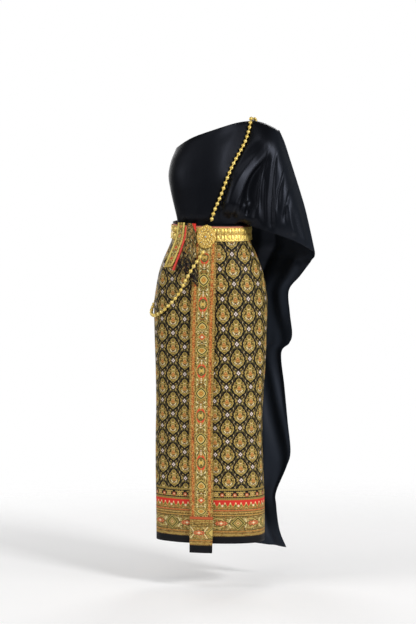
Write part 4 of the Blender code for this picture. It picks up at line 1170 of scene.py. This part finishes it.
def woven(g, base, weave, shade=0.0, rough=0.64, relief=None):
    """Matt brocade, darker by shade between its threads; its relief is the weave unless one is given."""
    if shade:
        base = g.mix((1.0 - weave) * shade, base, BLACK)
    return g.finish(Base_Color=base, Roughness=g.blend(weave, 0.50, rough), Specular_IOR_Level=0.12,
                    Normal=relief or g.bump(weave, 0.00012, 0.5))


def bud(g, x, t, grow):
    """Positive inside a pointed bud, x sideways and t up in half repeats; grow widens it all round."""
    s = g.math("MULTIPLY_ADD", t, 1 / (1.33 + 2 * grow), (0.64 + grow) / (1.33 + 2 * grow), clamp=True)
    return g.power(s, 0.88) * g.power(1.0 - s, 1.20) * ((0.50 + grow) / 0.2424) - x


def star(g, dx, dz):
    """Distance measure of an eight-pointed flower."""
    return g.least(dx + dz, g.math("MAXIMUM", dx, dz) * 1.42)


def ellipse(g, x, y, half_width, half_height):
    """1 on an ellipse, less inside."""
    x, y = x / half_width, y / half_height
    return g.root(x * x + y * y)


def dotted(g, base, run, z, rows):
    """Lines of small woven lozenges, each row height, half height, pitch and colour."""
    return g.lay(base, *(
        (abs(g.centred(run, pitch)) * (2.2 * half / pitch) + abs(z - height), half, CRISP, tint)
        for height, half, pitch, tint in rows))


def stripes(g, base, z, half, heights):
    """Thin dark lines between bands."""
    return g.lay(base, *((abs(z - height), half, 0.0004, INK, 0.85) for height in heights))


def red_bloom(g, base, x, z, leaf_at, size):
    """Red flower with a leaf on each side, a dark rim and a pale heart."""
    bloom = g.least(star(g, x * 1.1, z), abs(x - leaf_at) * 0.9 + z * 1.25)
    petals = g.mosaic(x * 640.0, z * 640.0 + 4.0, BLOOM_THREADS)
    base = g.rings(base, bloom, SOFT, (size, (60, 54, 28)), (size - 0.0014, petals))
    return g.lay(base, (x * 0.8 + z, size - 0.0070, CRISP, CREAM))


def ogee_lattice(g, column, row):
    """Buds in an ogee lattice with small four-petalled flowers at its crossings, and where the buds are."""
    a, b = (column + row) * 0.5, (column - row) * 0.5
    fa, fb = g.fract(a) - 0.5, g.fract(b) - 0.5
    x, t = abs(fa + fb), fb - fa
    ga, gb = g.fract(a + 0.5) - 0.5, g.fract(b + 0.5) - 0.5
    up, side = abs(ga - gb), abs(ga + gb)
    crossing = side + up
    # ribs: small scrolls of mixed threads
    out = g.mosaic(x * 7.0 + 3.0, t * 7.0 + 7.0, RIB_THREADS, pits=(0.56, 0.80, 0.7, BLACK))
    leaf = abs(side - up * 0.62 - 0.10) + abs(crossing - 0.42) * 0.30
    out = g.lay(out, (leaf, 0.052, 0.016, (192, 168, 104), g.ramp(0.0, 0.04, ga - gb)))
    # black outline, then the bud: gilt rim, small leaves, a rust heart
    serrated = abs(g.sin(t * 13.5 + 0.6)) * 0.060 - 0.030
    out = g.mix(g.ramp(-0.02, 0.02, bud(g, x, t, 0.150) + serrated * 0.7), out, BLACK)
    drop = bud(g, x, t, 0.0) + serrated
    inside = g.ramp(-0.015, 0.015, drop)
    heart = g.least(star(g, x * 1.05, abs(t + 0.02)), star(g, abs(x - 0.10), abs(t + 0.14)) * 1.9)
    body = g.lay(
        g.mosaic(x * 9.6 + 11.0, t * 9.0 + 2.0, LEAF_THREADS, pits=(0.46, 0.70, 0.75, (52, 44, 22))),
        (drop, 0.050, 0.02, (188, 162, 88), 0.85),
        (abs(drop - 0.095), 0.016, 0.014, (50, 44, 20), 0.55),
        (heart, 0.140, 0.03, g.mosaic(x * 17.0, t * 17.0 + 5.0, RUST_THREADS), 0.9),
        (heart, 0.050, 0.02, (222, 168, 92)))
    out = g.mix(inside, out, body)
    dots = g.least(x + abs(t + 0.36), abs(x - 0.125) + abs(t + 0.33), abs(x - 0.24) + abs(t + 0.235),
                   (x + abs(t - 0.30)) * 1.2)
    # crossing flowers
    out = g.lay(out, (dots, 0.046, 0.014, (244, 234, 198)), (crossing, 0.240, 0.02, BLACK))
    cross = g.under(crossing, 0.165, 0.02) * g.ramp(0.030, 0.046, crossing)
    cross = cross * g.ramp(0.004, 0.014, g.least(abs(ga), abs(gb)))
    return g.mix(cross, out, (244, 226, 214)), inside


def hem_borders(g, run, z):
    """Woven borders round the hem: flowers on black, red with spikes, stripes, a band of medallions."""
    gold = g.mosaic(run * 520.0, z * 620.0, GOLD_THREADS)
    field = g.mosaic(run * 430.0, z * 430.0, FIELD_THREADS, pits=(0.45, 0.70, 0.6, (58, 56, 28)))
    base = g.bands(z, -0.93, -0.75, HEM_BANDS)
    base = g.mix(g.between(z, *HEM_PATTERN_Z, BAND_EDGE) * 0.72, base, gold)
    base = g.mix(g.between(z, *HEM_MEDALLIONS_Z, BAND_EDGE) * 0.92, base, field)
    base = dotted(g, base, run, z, (
        (-0.8227, 0.0020, 0.0064, (206, 84, 54)), (-0.8330, 0.0018, 0.0056, BLACK),
        (-0.8372, 0.0013, 0.0050, (214, 160, 84)), (-0.8290, 0.0013, 0.0050, (226, 176, 96)),
        (-0.8953, 0.0022, 0.0062, GOLD), (-0.8995, 0.0014, 0.0062, BLACK), (-0.8853, 0.0015, 0.0054, RUST),
        (-0.7884, 0.0013, 0.0055, BROWN), (-0.7612, 0.0013, 0.0060, BROWN)))
    base = stripes(g, base, z, 0.0008, HEM_STRIPES)
    # flowers on the black border, with leaves between them
    dz = abs(z + FLOWERS_DOWN)
    specks = g.ramp(0.62, 0.70, g.noise(g.join(run, z), 330.0, 1.0))
    base = g.mix(g.between(z, *HEM_FLOWERS_Z, BAND_EDGE) * specks, base, (168, 140, 76))
    big = star(g, abs(g.centred(run, 0.0375)), dz)
    small = star(g, abs(g.centred(run, 0.0375, 0.01875)), abs(z + 0.7770))
    sprig = abs(abs(g.centred(run, 0.01875, 0.009375)) - 0.0022) + abs(dz - 0.0062)
    base = g.rings(base, big, SOFT, (0.0102, INK), (0.0090, (196, 166, 92)), (0.0042, BROWN),
                   (0.0026, (230, 206, 130)))
    base = g.rings(base, small, SOFT, (0.0066, (194, 104, 58)), (0.0022, CREAM))
    base = g.lay(base, (sprig, 0.0028, CRISP, (178, 150, 80)))
    # red band bitten by gold leaves with pale tips
    tooth = abs(g.centred(run, 0.0160))
    crest = -0.7995 - tooth / 0.0080 * 0.0125
    base = g.mix(g.between(z, -0.8105, -0.7916, BAND_EDGE) * g.ramp(-0.0004, 0.0004, z - crest), base, RED)
    base = g.lay(
        base,
        (abs(z - crest + 0.0010), 0.0012, CRISP, (206, 180, 100), g.ramp(-0.8135, -0.8115, z)),
        (tooth + abs(z + 0.8085), 0.0032, SOFT, OLIVE),
        (tooth * 1.2 + abs(z + 0.8010), 0.0030, 0.0007, (240, 224, 166)),
        (abs(g.centred(run, 0.0480, 0.0080)) + abs(z + 0.8085) * 0.9, 0.0036, SOFT, CREAM),
        (abs(g.centred(run, 0.0160, 0.0080)) + abs(z + 0.8150), 0.0030, CRISP, RUST))
    # band of diamonds and red blooms in turn, joined by pale scrolls
    dz = abs(z + MEDALLIONS_DOWN)
    dx, fx = abs(g.centred(run, 0.1, 0.102)), abs(g.centred(run, 0.1, 0.052))
    scroll = abs(dz - 0.0030 - abs(g.sin(run * 62.83 - 1.0)) * 0.0110)
    base = g.lay(base, (scroll, 0.0013, CRISP, (200, 178, 104), g.between(z, -0.8795, -0.8415, SOFT)))
    base = g.rings(base, dx * 0.92 + dz, SOFT, (0.0232, (70, 74, 38)), (0.0208, (204, 180, 96)),
                   (0.0182, (96, 96, 44)), (0.0166, BLACK), (0.0136, (206, 182, 104)),
                   (0.0110, (160, 124, 58)), (0.0062, (232, 212, 140)), (0.0036, RUST))
    base = red_bloom(g, base, fx, dz, 0.0105, 0.0100)
    leaf = abs(fx - 0.0215 - dz * 0.50)
    return g.lay(base, (leaf, 0.0014, CRISP, (234, 220, 164), g.between(dz, 0.003, 0.0135, SOFT)))


def brocade():
    g = Graph("skirt_brocade")
    column, row, _ = g.attribute("lattice")
    run, z, below = g.attribute("band")
    pattern, buds = ogee_lattice(g, column, row)
    low = g.ramp(-0.7580, -0.7590, z)
    base = g.mix(low, pattern, hem_borders(g, run, z))
    rim = g.mix(g.under(below, 0.0042, 0.0008), (222, 140, 112), (20, 18, 20))
    base = g.lay(base, (below, 0.0095, SOFT, rim))
    tone = g.noise(g.join(run, z), 14.0, 3.0)
    base = g.mix(g.ramp(0.40, 0.75, tone) * 0.16, base, (34, 28, 20))
    weave = threads(g, run, z)
    relief = g.bump(weave * 0.5 + buds * (1.0 - low) * 0.5, 0.00018, 0.5)
    return woven(g, base, weave, shade=0.16, relief=relief)


def pleat_foot(g, across, z, gold, speck):
    """Foot of the pleat: rust stripe, gold stripes, a cross band with a bloom, dotted stripes, black hem."""
    base = g.bands(z, -0.96, -0.83, FOOT_BANDS)
    field = g.mosaic(across * 32.0, z * 470.0, FIELD_THREADS)
    base = g.mix(g.between(z, *FOOT_PATTERN_Z, 0.0004) * 0.72, base, gold)
    base = g.mix(g.between(z, *FOOT_BLOOM_Z, 0.0004) * 0.92, base, field)
    specks = g.ramp(0.1, 0.6, speck) * g.between(z, *FOOT_RUST_Z, 0.0004)
    base = g.mix(specks * 0.5, base, (220, 130, 76))
    base = dotted(g, base, across, z, (
        (-0.9205, 0.0020, 0.092, GOLD), (-0.9246, 0.0014, 0.092, BLACK), (-0.9110, 0.0016, 0.08, RUST),
        (-0.8640, 0.0016, 0.075, BLACK), (-0.8540, 0.0014, 0.08, BROWN)))
    base = stripes(g, base, z, 0.0007, FOOT_STRIPES)
    dx, dz = abs(across - 0.42) * PLEAT_FOOT_WIDTH, abs(z + BLOOM_DOWN)
    scroll = abs(dx - 0.0135 - dz * 0.72)
    base = g.lay(base, (scroll, 0.0015, CRISP, (234, 218, 160), g.between(z, -0.9055, -0.8705, SOFT)))
    base = red_bloom(g, base, dx, dz, 0.0095, 0.0098)
    return g.rings(base, abs(across - 1.02) * PLEAT_FOOT_WIDTH + dz, SOFT, (0.0180, (206, 184, 98)),
                   (0.0156, BLACK), (0.0128, (206, 180, 100)))


def pleat_brocade():
    g = Graph("pleat_brocade")
    across, number, z = g.attribute("panel")
    s = abs(across - 0.5)  # 0 in the middle, 0.5 at the folds
    x = s * PLEAT_WIDTH
    speck = g.sin(z * 1150.0) * g.sin(across * 88.0)
    gold = g.mosaic(across * 33.0, z * 560.0, GOLD_THREADS)
    rust = g.mosaic(across * 22.0 + 5.0, z * 300.0, RUST_THREADS)
    field = g.mosaic(x * 470.0, z * 470.0, FIELD_THREADS, pits=(0.45, 0.70, 0.55, (66, 60, 30)))
    base = g.rings(gold, s, 0.005, (0.425, rust), (0.300, gold), (0.262, field))
    edge = g.under(abs(s - 0.478), 0.012, 0.006) * g.ramp(-0.1, 0.3, g.sin(z * 1400.0))
    base = g.mix(edge * 0.8, base, (58, 42, 22))
    base = g.lay(base, *((abs(s - at), 0.006, 0.005, (46, 38, 20), 0.6) for at in (0.425, 0.302, 0.262)))
    # medallions: ovals on even numbers, diamonds on odd ones
    up = abs(g.centred(number, 2.0) * MEDALLION_PITCH)
    odd = g.centred(number, 2.0, 1.0) * MEDALLION_PITCH
    half = abs(g.centred(number, 1.0, 0.5)) * MEDALLION_PITCH
    minor = g.least(*(abs(z + down) for down in SMALL_FLOWERS_DOWN))  # in the place of two ovals
    # scrolls and pale leaves between the medallions
    vine = g.under(abs(x - 0.0125 + g.sin(number * 6.2832 + 1.57) * 0.0026), 0.0014, SOFT)
    base = g.mix(vine * g.under(s, 0.256, 0.004) * g.ramp(-0.2, 0.3, speck + 0.4), base, (196, 174, 96))
    leaf = abs(x - 0.0080 - half * 0.55) + abs(half - 0.0065) * 0.50
    base = g.lay(base, (leaf, 0.0023, SOFT, (236, 224, 168)), (x * 1.3 + half, 0.0028, CRISP, CREAM))
    # ovals: orange rim, red shoulders, a gold flower in a green ring
    whole = g.ramp(0.018, 0.022, minor)
    oval = ellipse(g, x, up, 0.0160, 0.0300) + x * up * 900.0
    warm = g.mosaic(x * 600.0, up * 600.0 + 3.0, RUST_THREADS)
    base = g.lay(base, (oval, 1.06, 0.03, (196, 168, 92), whole), (oval, 0.96, 0.03, warm, whole))
    caps = g.under(abs(up - 0.0168 + x * 0.35), 0.0042, 0.0012) * g.ramp(0.0015, 0.0035, x)
    base = g.mix(g.under(oval, 0.93, 0.03) * caps * whole, base, (222, 78, 56))
    hollow = ellipse(g, x, up, 0.0120, 0.0150)
    heart = g.mosaic(x * 560.0 + 9.0, up * 560.0, LEAF_THREADS)
    flower = star(g, x, up)
    tips = g.least(x + abs(up - 0.0232), x * 0.9 + abs(up - 0.0275) * 1.3)
    base = g.lay(
        base,
        (hollow, 1.0, 0.04, (94, 98, 52), whole),
        (hollow, 0.78, 0.05, heart, whole),
        (flower, 0.0052, SOFT, (214, 172, 84), whole),
        (flower, 0.0018, CRISP, (236, 208, 110), whole),
        (tips, 0.0024, CRISP, CREAM, whole))
    # small flowers
    base = g.rings(base, x * 0.9 + minor, SOFT, (0.0125, (196, 170, 94)), (0.0104, (204, 104, 58)),
                   (0.0040, CREAM))
    # diamonds: rounded, gilt and black outlines round a gold heart
    ring = g.root(x * x + odd * odd * 0.92) * 0.62 + (x + abs(odd) * 0.96) * 0.38
    base = g.rings(base, ring, SOFT, (0.0176, (206, 184, 98)), (0.0158, (120, 116, 54)), (0.0146, BLACK),
                   (0.0120, (228, 204, 130)), (0.0096, (196, 156, 76)), (0.0050, (186, 116, 48)),
                   (0.0018, (226, 190, 104)))
    base = g.mix(g.ramp(-0.8395, -0.8403, z), base, pleat_foot(g, across, z, gold, speck))
    return woven(g, base, threads(g, across * PLEAT_FOOT_WIDTH, z), shade=0.14)


def strip_brocade():
    g = Graph("strip_brocade")
    across, down, z = g.attribute("panel")
    s = abs(across - 0.5)
    x = s * STRIP_WIDTH
    zigzag = abs(abs(s - 0.37) * STRIP_WIDTH - abs(g.centred(down, 0.0105)) * 0.42)
    bloom = star(g, x, abs(g.centred(down, 0.0300, 0.018)))
    minor = x + abs(g.centred(down, 0.0300, 0.003))
    base = g.lay(
        g.mosaic(across * 13.0, down * 430.0, STRIP_THREADS),
        (zigzag, 0.0009, CRISP, (240, 218, 124)),
        (s, 0.24, 0.015, g.mosaic(x * 520.0, down * 420.0, FIELD_THREADS)),
        (bloom, 0.0066, SOFT, (206, 176, 86)),
        (bloom, 0.0052, SOFT, g.mosaic(x * 900.0, down * 900.0, BLOOM_THREADS)),
        (minor, 0.0046, CRISP, (104, 96, 44)),
        (minor, 0.0026, CRISP, (226, 196, 112)),
        (abs(s - 0.25), 0.016, 0.012, (70, 58, 26)),
        (abs(s - 0.48), 0.012, 0.010, (96, 78, 34), 0.7))
    ridges = g.mix(g.ramp(-0.2, 0.3, g.sin(down * 2400.0)), (150, 118, 48), (236, 208, 116))
    base = g.mix(g.ramp(0.128, 0.130, down), base, ridges)
    return woven(g, base, threads(g, across * STRIP_WIDTH, z), rough=0.62)


def gather_brocade():
    """Scrunched end of the patterned cloth: scraps of its flowers, with painted shade in the hollows of its
    folds, dark at its foot.
    """
    g = Graph("gather_brocade")
    across, down, fold = g.attribute("panel")
    bend = g.noise(g.join(across * 4.0, down * 3.0), 1.0, 2.0)
    u, w = across * 0.060 + bend * 0.022, down * 0.150 + bend * 0.026
    patch = g.noise(g.join(u, w), 95.0, 2.0)
    pale = g.noise(g.join(u, w, 8.0), 230.0, 1.0)
    vein = abs(g.noise(g.join(u, w, 2.0), 70.0, 1.0) - 0.5)
    kept = g.ramp(0.54, 0.60, g.noise(g.join(u, w, 5.0), 120.0, 1.0))
    foot = g.ramp(0.50, 0.80, down + bend * 0.30 - 0.12)
    base = g.mosaic(u * 300.0, w * 240.0, GATHER_THREADS, pits=(0.50, 0.74, 0.7, (26, 23, 20)))
    base = g.mix(g.ramp(0.46, 0.50, patch), base, g.mosaic(u * 620.0, w * 560.0 + 3.0, FIELD_THREADS))
    base = g.mix(g.ramp(0.63, 0.66, patch) * 0.9, base, g.mosaic(u * 620.0, w * 560.0 + 9.0, BLOOM_THREADS))
    base = g.mix(g.ramp(0.66, 0.70, pale), base, (236, 222, 170))
    base = g.lay(base, (vein, 0.020, 0.010, (20, 18, 18)))
    # painted shade: where a fold dips back towards the skirt, its hollow is darkened towards black
    base = g.mix(g.ramp(-0.2, -1.1, fold) * 0.55, base, (18, 16, 15))
    base = g.mix(foot * (1.0 - kept * 0.85) * 0.94, base, (17, 18, 24))
    base = g.lay(base, ((1.0 - across) * 0.028 + down * 0.060, 0.0130, SOFT, RED))
    weave = threads(g, across * 0.06, down * 0.14)
    return woven(g, base, weave, relief=g.bump(weave * 0.3 + patch * 0.7, 0.0006, 0.6))


def red_cloth():
    g = Graph("red_cloth")
    at = g.position()
    fibre = g.noise(g.stretch(at, 2600, 2600, 700), 1.0, 2.0)
    base = g.mix(g.noise(at, 60.0, 2.0), (206, 46, 34), (236, 74, 52))
    return g.finish(Base_Color=base, Roughness=g.blend(fibre, 0.5, 0.7), Sheen_Weight=0.2,
                    Normal=g.bump(fibre, 0.00015, 0.6))


def gilt(name, relief=False):
    g = Graph(name)
    at = g.position()
    wear = g.noise(at, 110.0, 3.0)
    base = g.mix(g.ramp(0.35, 0.7, wear), (236, 202, 100), (250, 226, 140))
    if relief:
        # painted shade: where the relief is low, between the raised work, the gold is darker
        base = g.mix(g.ramp(0.40, -0.10, g.attribute("relief")[2]), base, (196, 154, 76))
    return g.finish(Base_Color=base, Metallic=0.55, Roughness=g.blend(wear, 0.32, 0.44),
                    Normal=g.bump(g.noise(at, 1700.0, 2.0), 0.00005, 0.35))


def stone():
    g = Graph("set_stone")
    cell = g.cells(g.position(), 420.0)
    base = g.mix(cell, (120, 140, 158), (206, 220, 230))
    return g.finish(Base_Color=base, Metallic=0.35, Roughness=0.12, Coat_Weight=0.6, Coat_Roughness=0.05,
                    Normal=g.bump(cell, 0.0004, 0.7))


def pale_floor():
    """Plain pale floor that fades out into the white surround; its two colours are linear."""
    g = Graph("pale_floor")
    at = g.position()
    x, y, _ = g.split(at)
    tints = {0: g.noise(at, 40.0, 2.0), 6: (0.96, 0.955, 0.955), 7: (0.98, 0.975, 0.975)}
    base = g.add("ShaderNodeMix", tints, 2, data_type="RGBA")
    return g.finish(Base_Color=base, Roughness=0.9, Emission_Color=(1, 1, 1), Emission_Strength=0.08,
                    Alpha=g.ramp(FLOOR_RADIUS, 1.0, g.root(x * x + y * y)))


# ---------------------------------------------------------------- camera, floor and light
def look(obj, target):
    way = Vector(target) - obj.location
    obj.rotation_euler = way.to_track_quat("-Z", "Y").to_euler()


def camera():
    data = bpy.data.cameras.new("camera")
    data.lens, data.sensor_width = LENS_MM, SENSOR_MM
    cam = link("camera", data)
    cam.location = CAMERA_PLACE
    pitch, yaw = math.radians(CAMERA_PITCH_DEG), math.radians(CAMERA_YAW_DEG)
    place = cam.location
    look(cam, (place.x - math.sin(yaw) * math.cos(pitch), place.y + math.cos(yaw) * math.cos(pitch),
               place.z - math.sin(pitch)))
    bpy.context.scene.camera = cam


def lamp(name, place, target_z, width, depth, watts):
    data = bpy.data.lights.new(name, "AREA")
    data.shape, data.size, data.size_y, data.energy = "RECTANGLE", width, depth, watts
    obj = link(name, data)
    obj.location = place
    look(obj, (0, 0, target_z))


def studio():
    world = bpy.data.worlds.new("studio")
    bpy.context.scene.world = world
    world.use_nodes = True
    nodes, links = world.node_tree.nodes, world.node_tree.links
    nodes["Background"].inputs["Color"].default_value = (1, 1, 1, 1)
    seen = nodes.new("ShaderNodeLightPath")
    level = nodes.new("ShaderNodeMath")
    level.operation = "MULTIPLY_ADD"
    level.inputs[1].default_value, level.inputs[2].default_value = WHITE_SEEN, WHITE_CAST
    links.new(seen.outputs["Is Camera Ray"], level.inputs[0])
    links.new(level.outputs[0], nodes["Background"].inputs["Strength"])
    bpy.context.scene.view_settings.view_transform = "Standard"
    angle = np.linspace(0, 2 * math.pi, FLOOR_SIDES, endpoint=False)
    disc = np.array([[(r * math.cos(a), r * math.sin(a), FLOOR_Z) for a in angle]
                     for r in np.linspace(1e-4, FLOOR_RADIUS, FLOOR_RINGS)])
    rings = faces_of(numbered(FLOOR_RINGS, FLOOR_SIDES), True)
    piece("floor", [(disc.reshape(-1, 3), rings)], pale_floor())
    for row in LAMPS:
        lamp(*row)


# ---------------------------------------------------------------- the dress
def dress():
    black = satin()
    top, front, v = satin_top(black)
    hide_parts("bodice_front", "shoulder_drape", "train")
    back = bodice_back_grid(v)
    back[:, -1] = front[:, 0]
    back_piece = piece("bodice_back_cloth", [shell(back, SATIN_WALL)], black)
    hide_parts("bodice_back")
    wrap = skirt(brocade())
    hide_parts("skirt_front", "skirt_back")
    fold = pleat(pleat_brocade())
    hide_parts("front_pleat")
    end_strip = strip(strip_brocade())
    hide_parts("folded_end_strip")
    end_red = red_edge(red_cloth())
    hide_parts("folded_end_edge")
    end_gather = gather(gather_brocade())
    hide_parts("folded_end_gather")

    gold, worked = gilt("gilt_beads"), gilt("gilt_work", True)
    plates = belt(worked)
    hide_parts("belt")
    disc = buckle_disc(worked)
    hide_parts("belt_buckle")
    beads, stones = buckle_trim(gold, stone())
    # the front chain follows the line where bodice and drape meet, lifted off the cloth
    seam = BODICE_COLS - 1
    line = front[:, seam] + normals(front)[:, seam] * CHAIN_LIFT
    line = line[line[:, 2] > CHAIN_FRONT_FOOT_Z][::6]
    front_beads = beads_along("chain_front_beads", np.concatenate([[CHAIN_SHOULDER], line[1:]]), gold)
    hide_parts("chain_front")
    swag = [skirt_at(math.radians(a), z, CHAIN_LIFT + extra) for a, z, extra in SWAG]
    round_beads = beads_along("chain_round_beads", np.concatenate([swag, CHAIN_BACK]), gold)
    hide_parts("chain_round")

    for obj, slot in (
            (top, "satin"), (back_piece, "satin"), (wrap, "brocade"), (fold, "pleat_brocade"),
            (end_strip, "striped_brocade"), (end_red, "red_cloth"), (end_gather, "gathered_brocade"),
            (plates, "gilt"), (disc, "gilt"), (beads, "gilt"), (stones, "gilt"), (front_beads, "gilt"),
            (round_beads, "gilt")):
        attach(obj, "root")


camera()
studio()
dress()
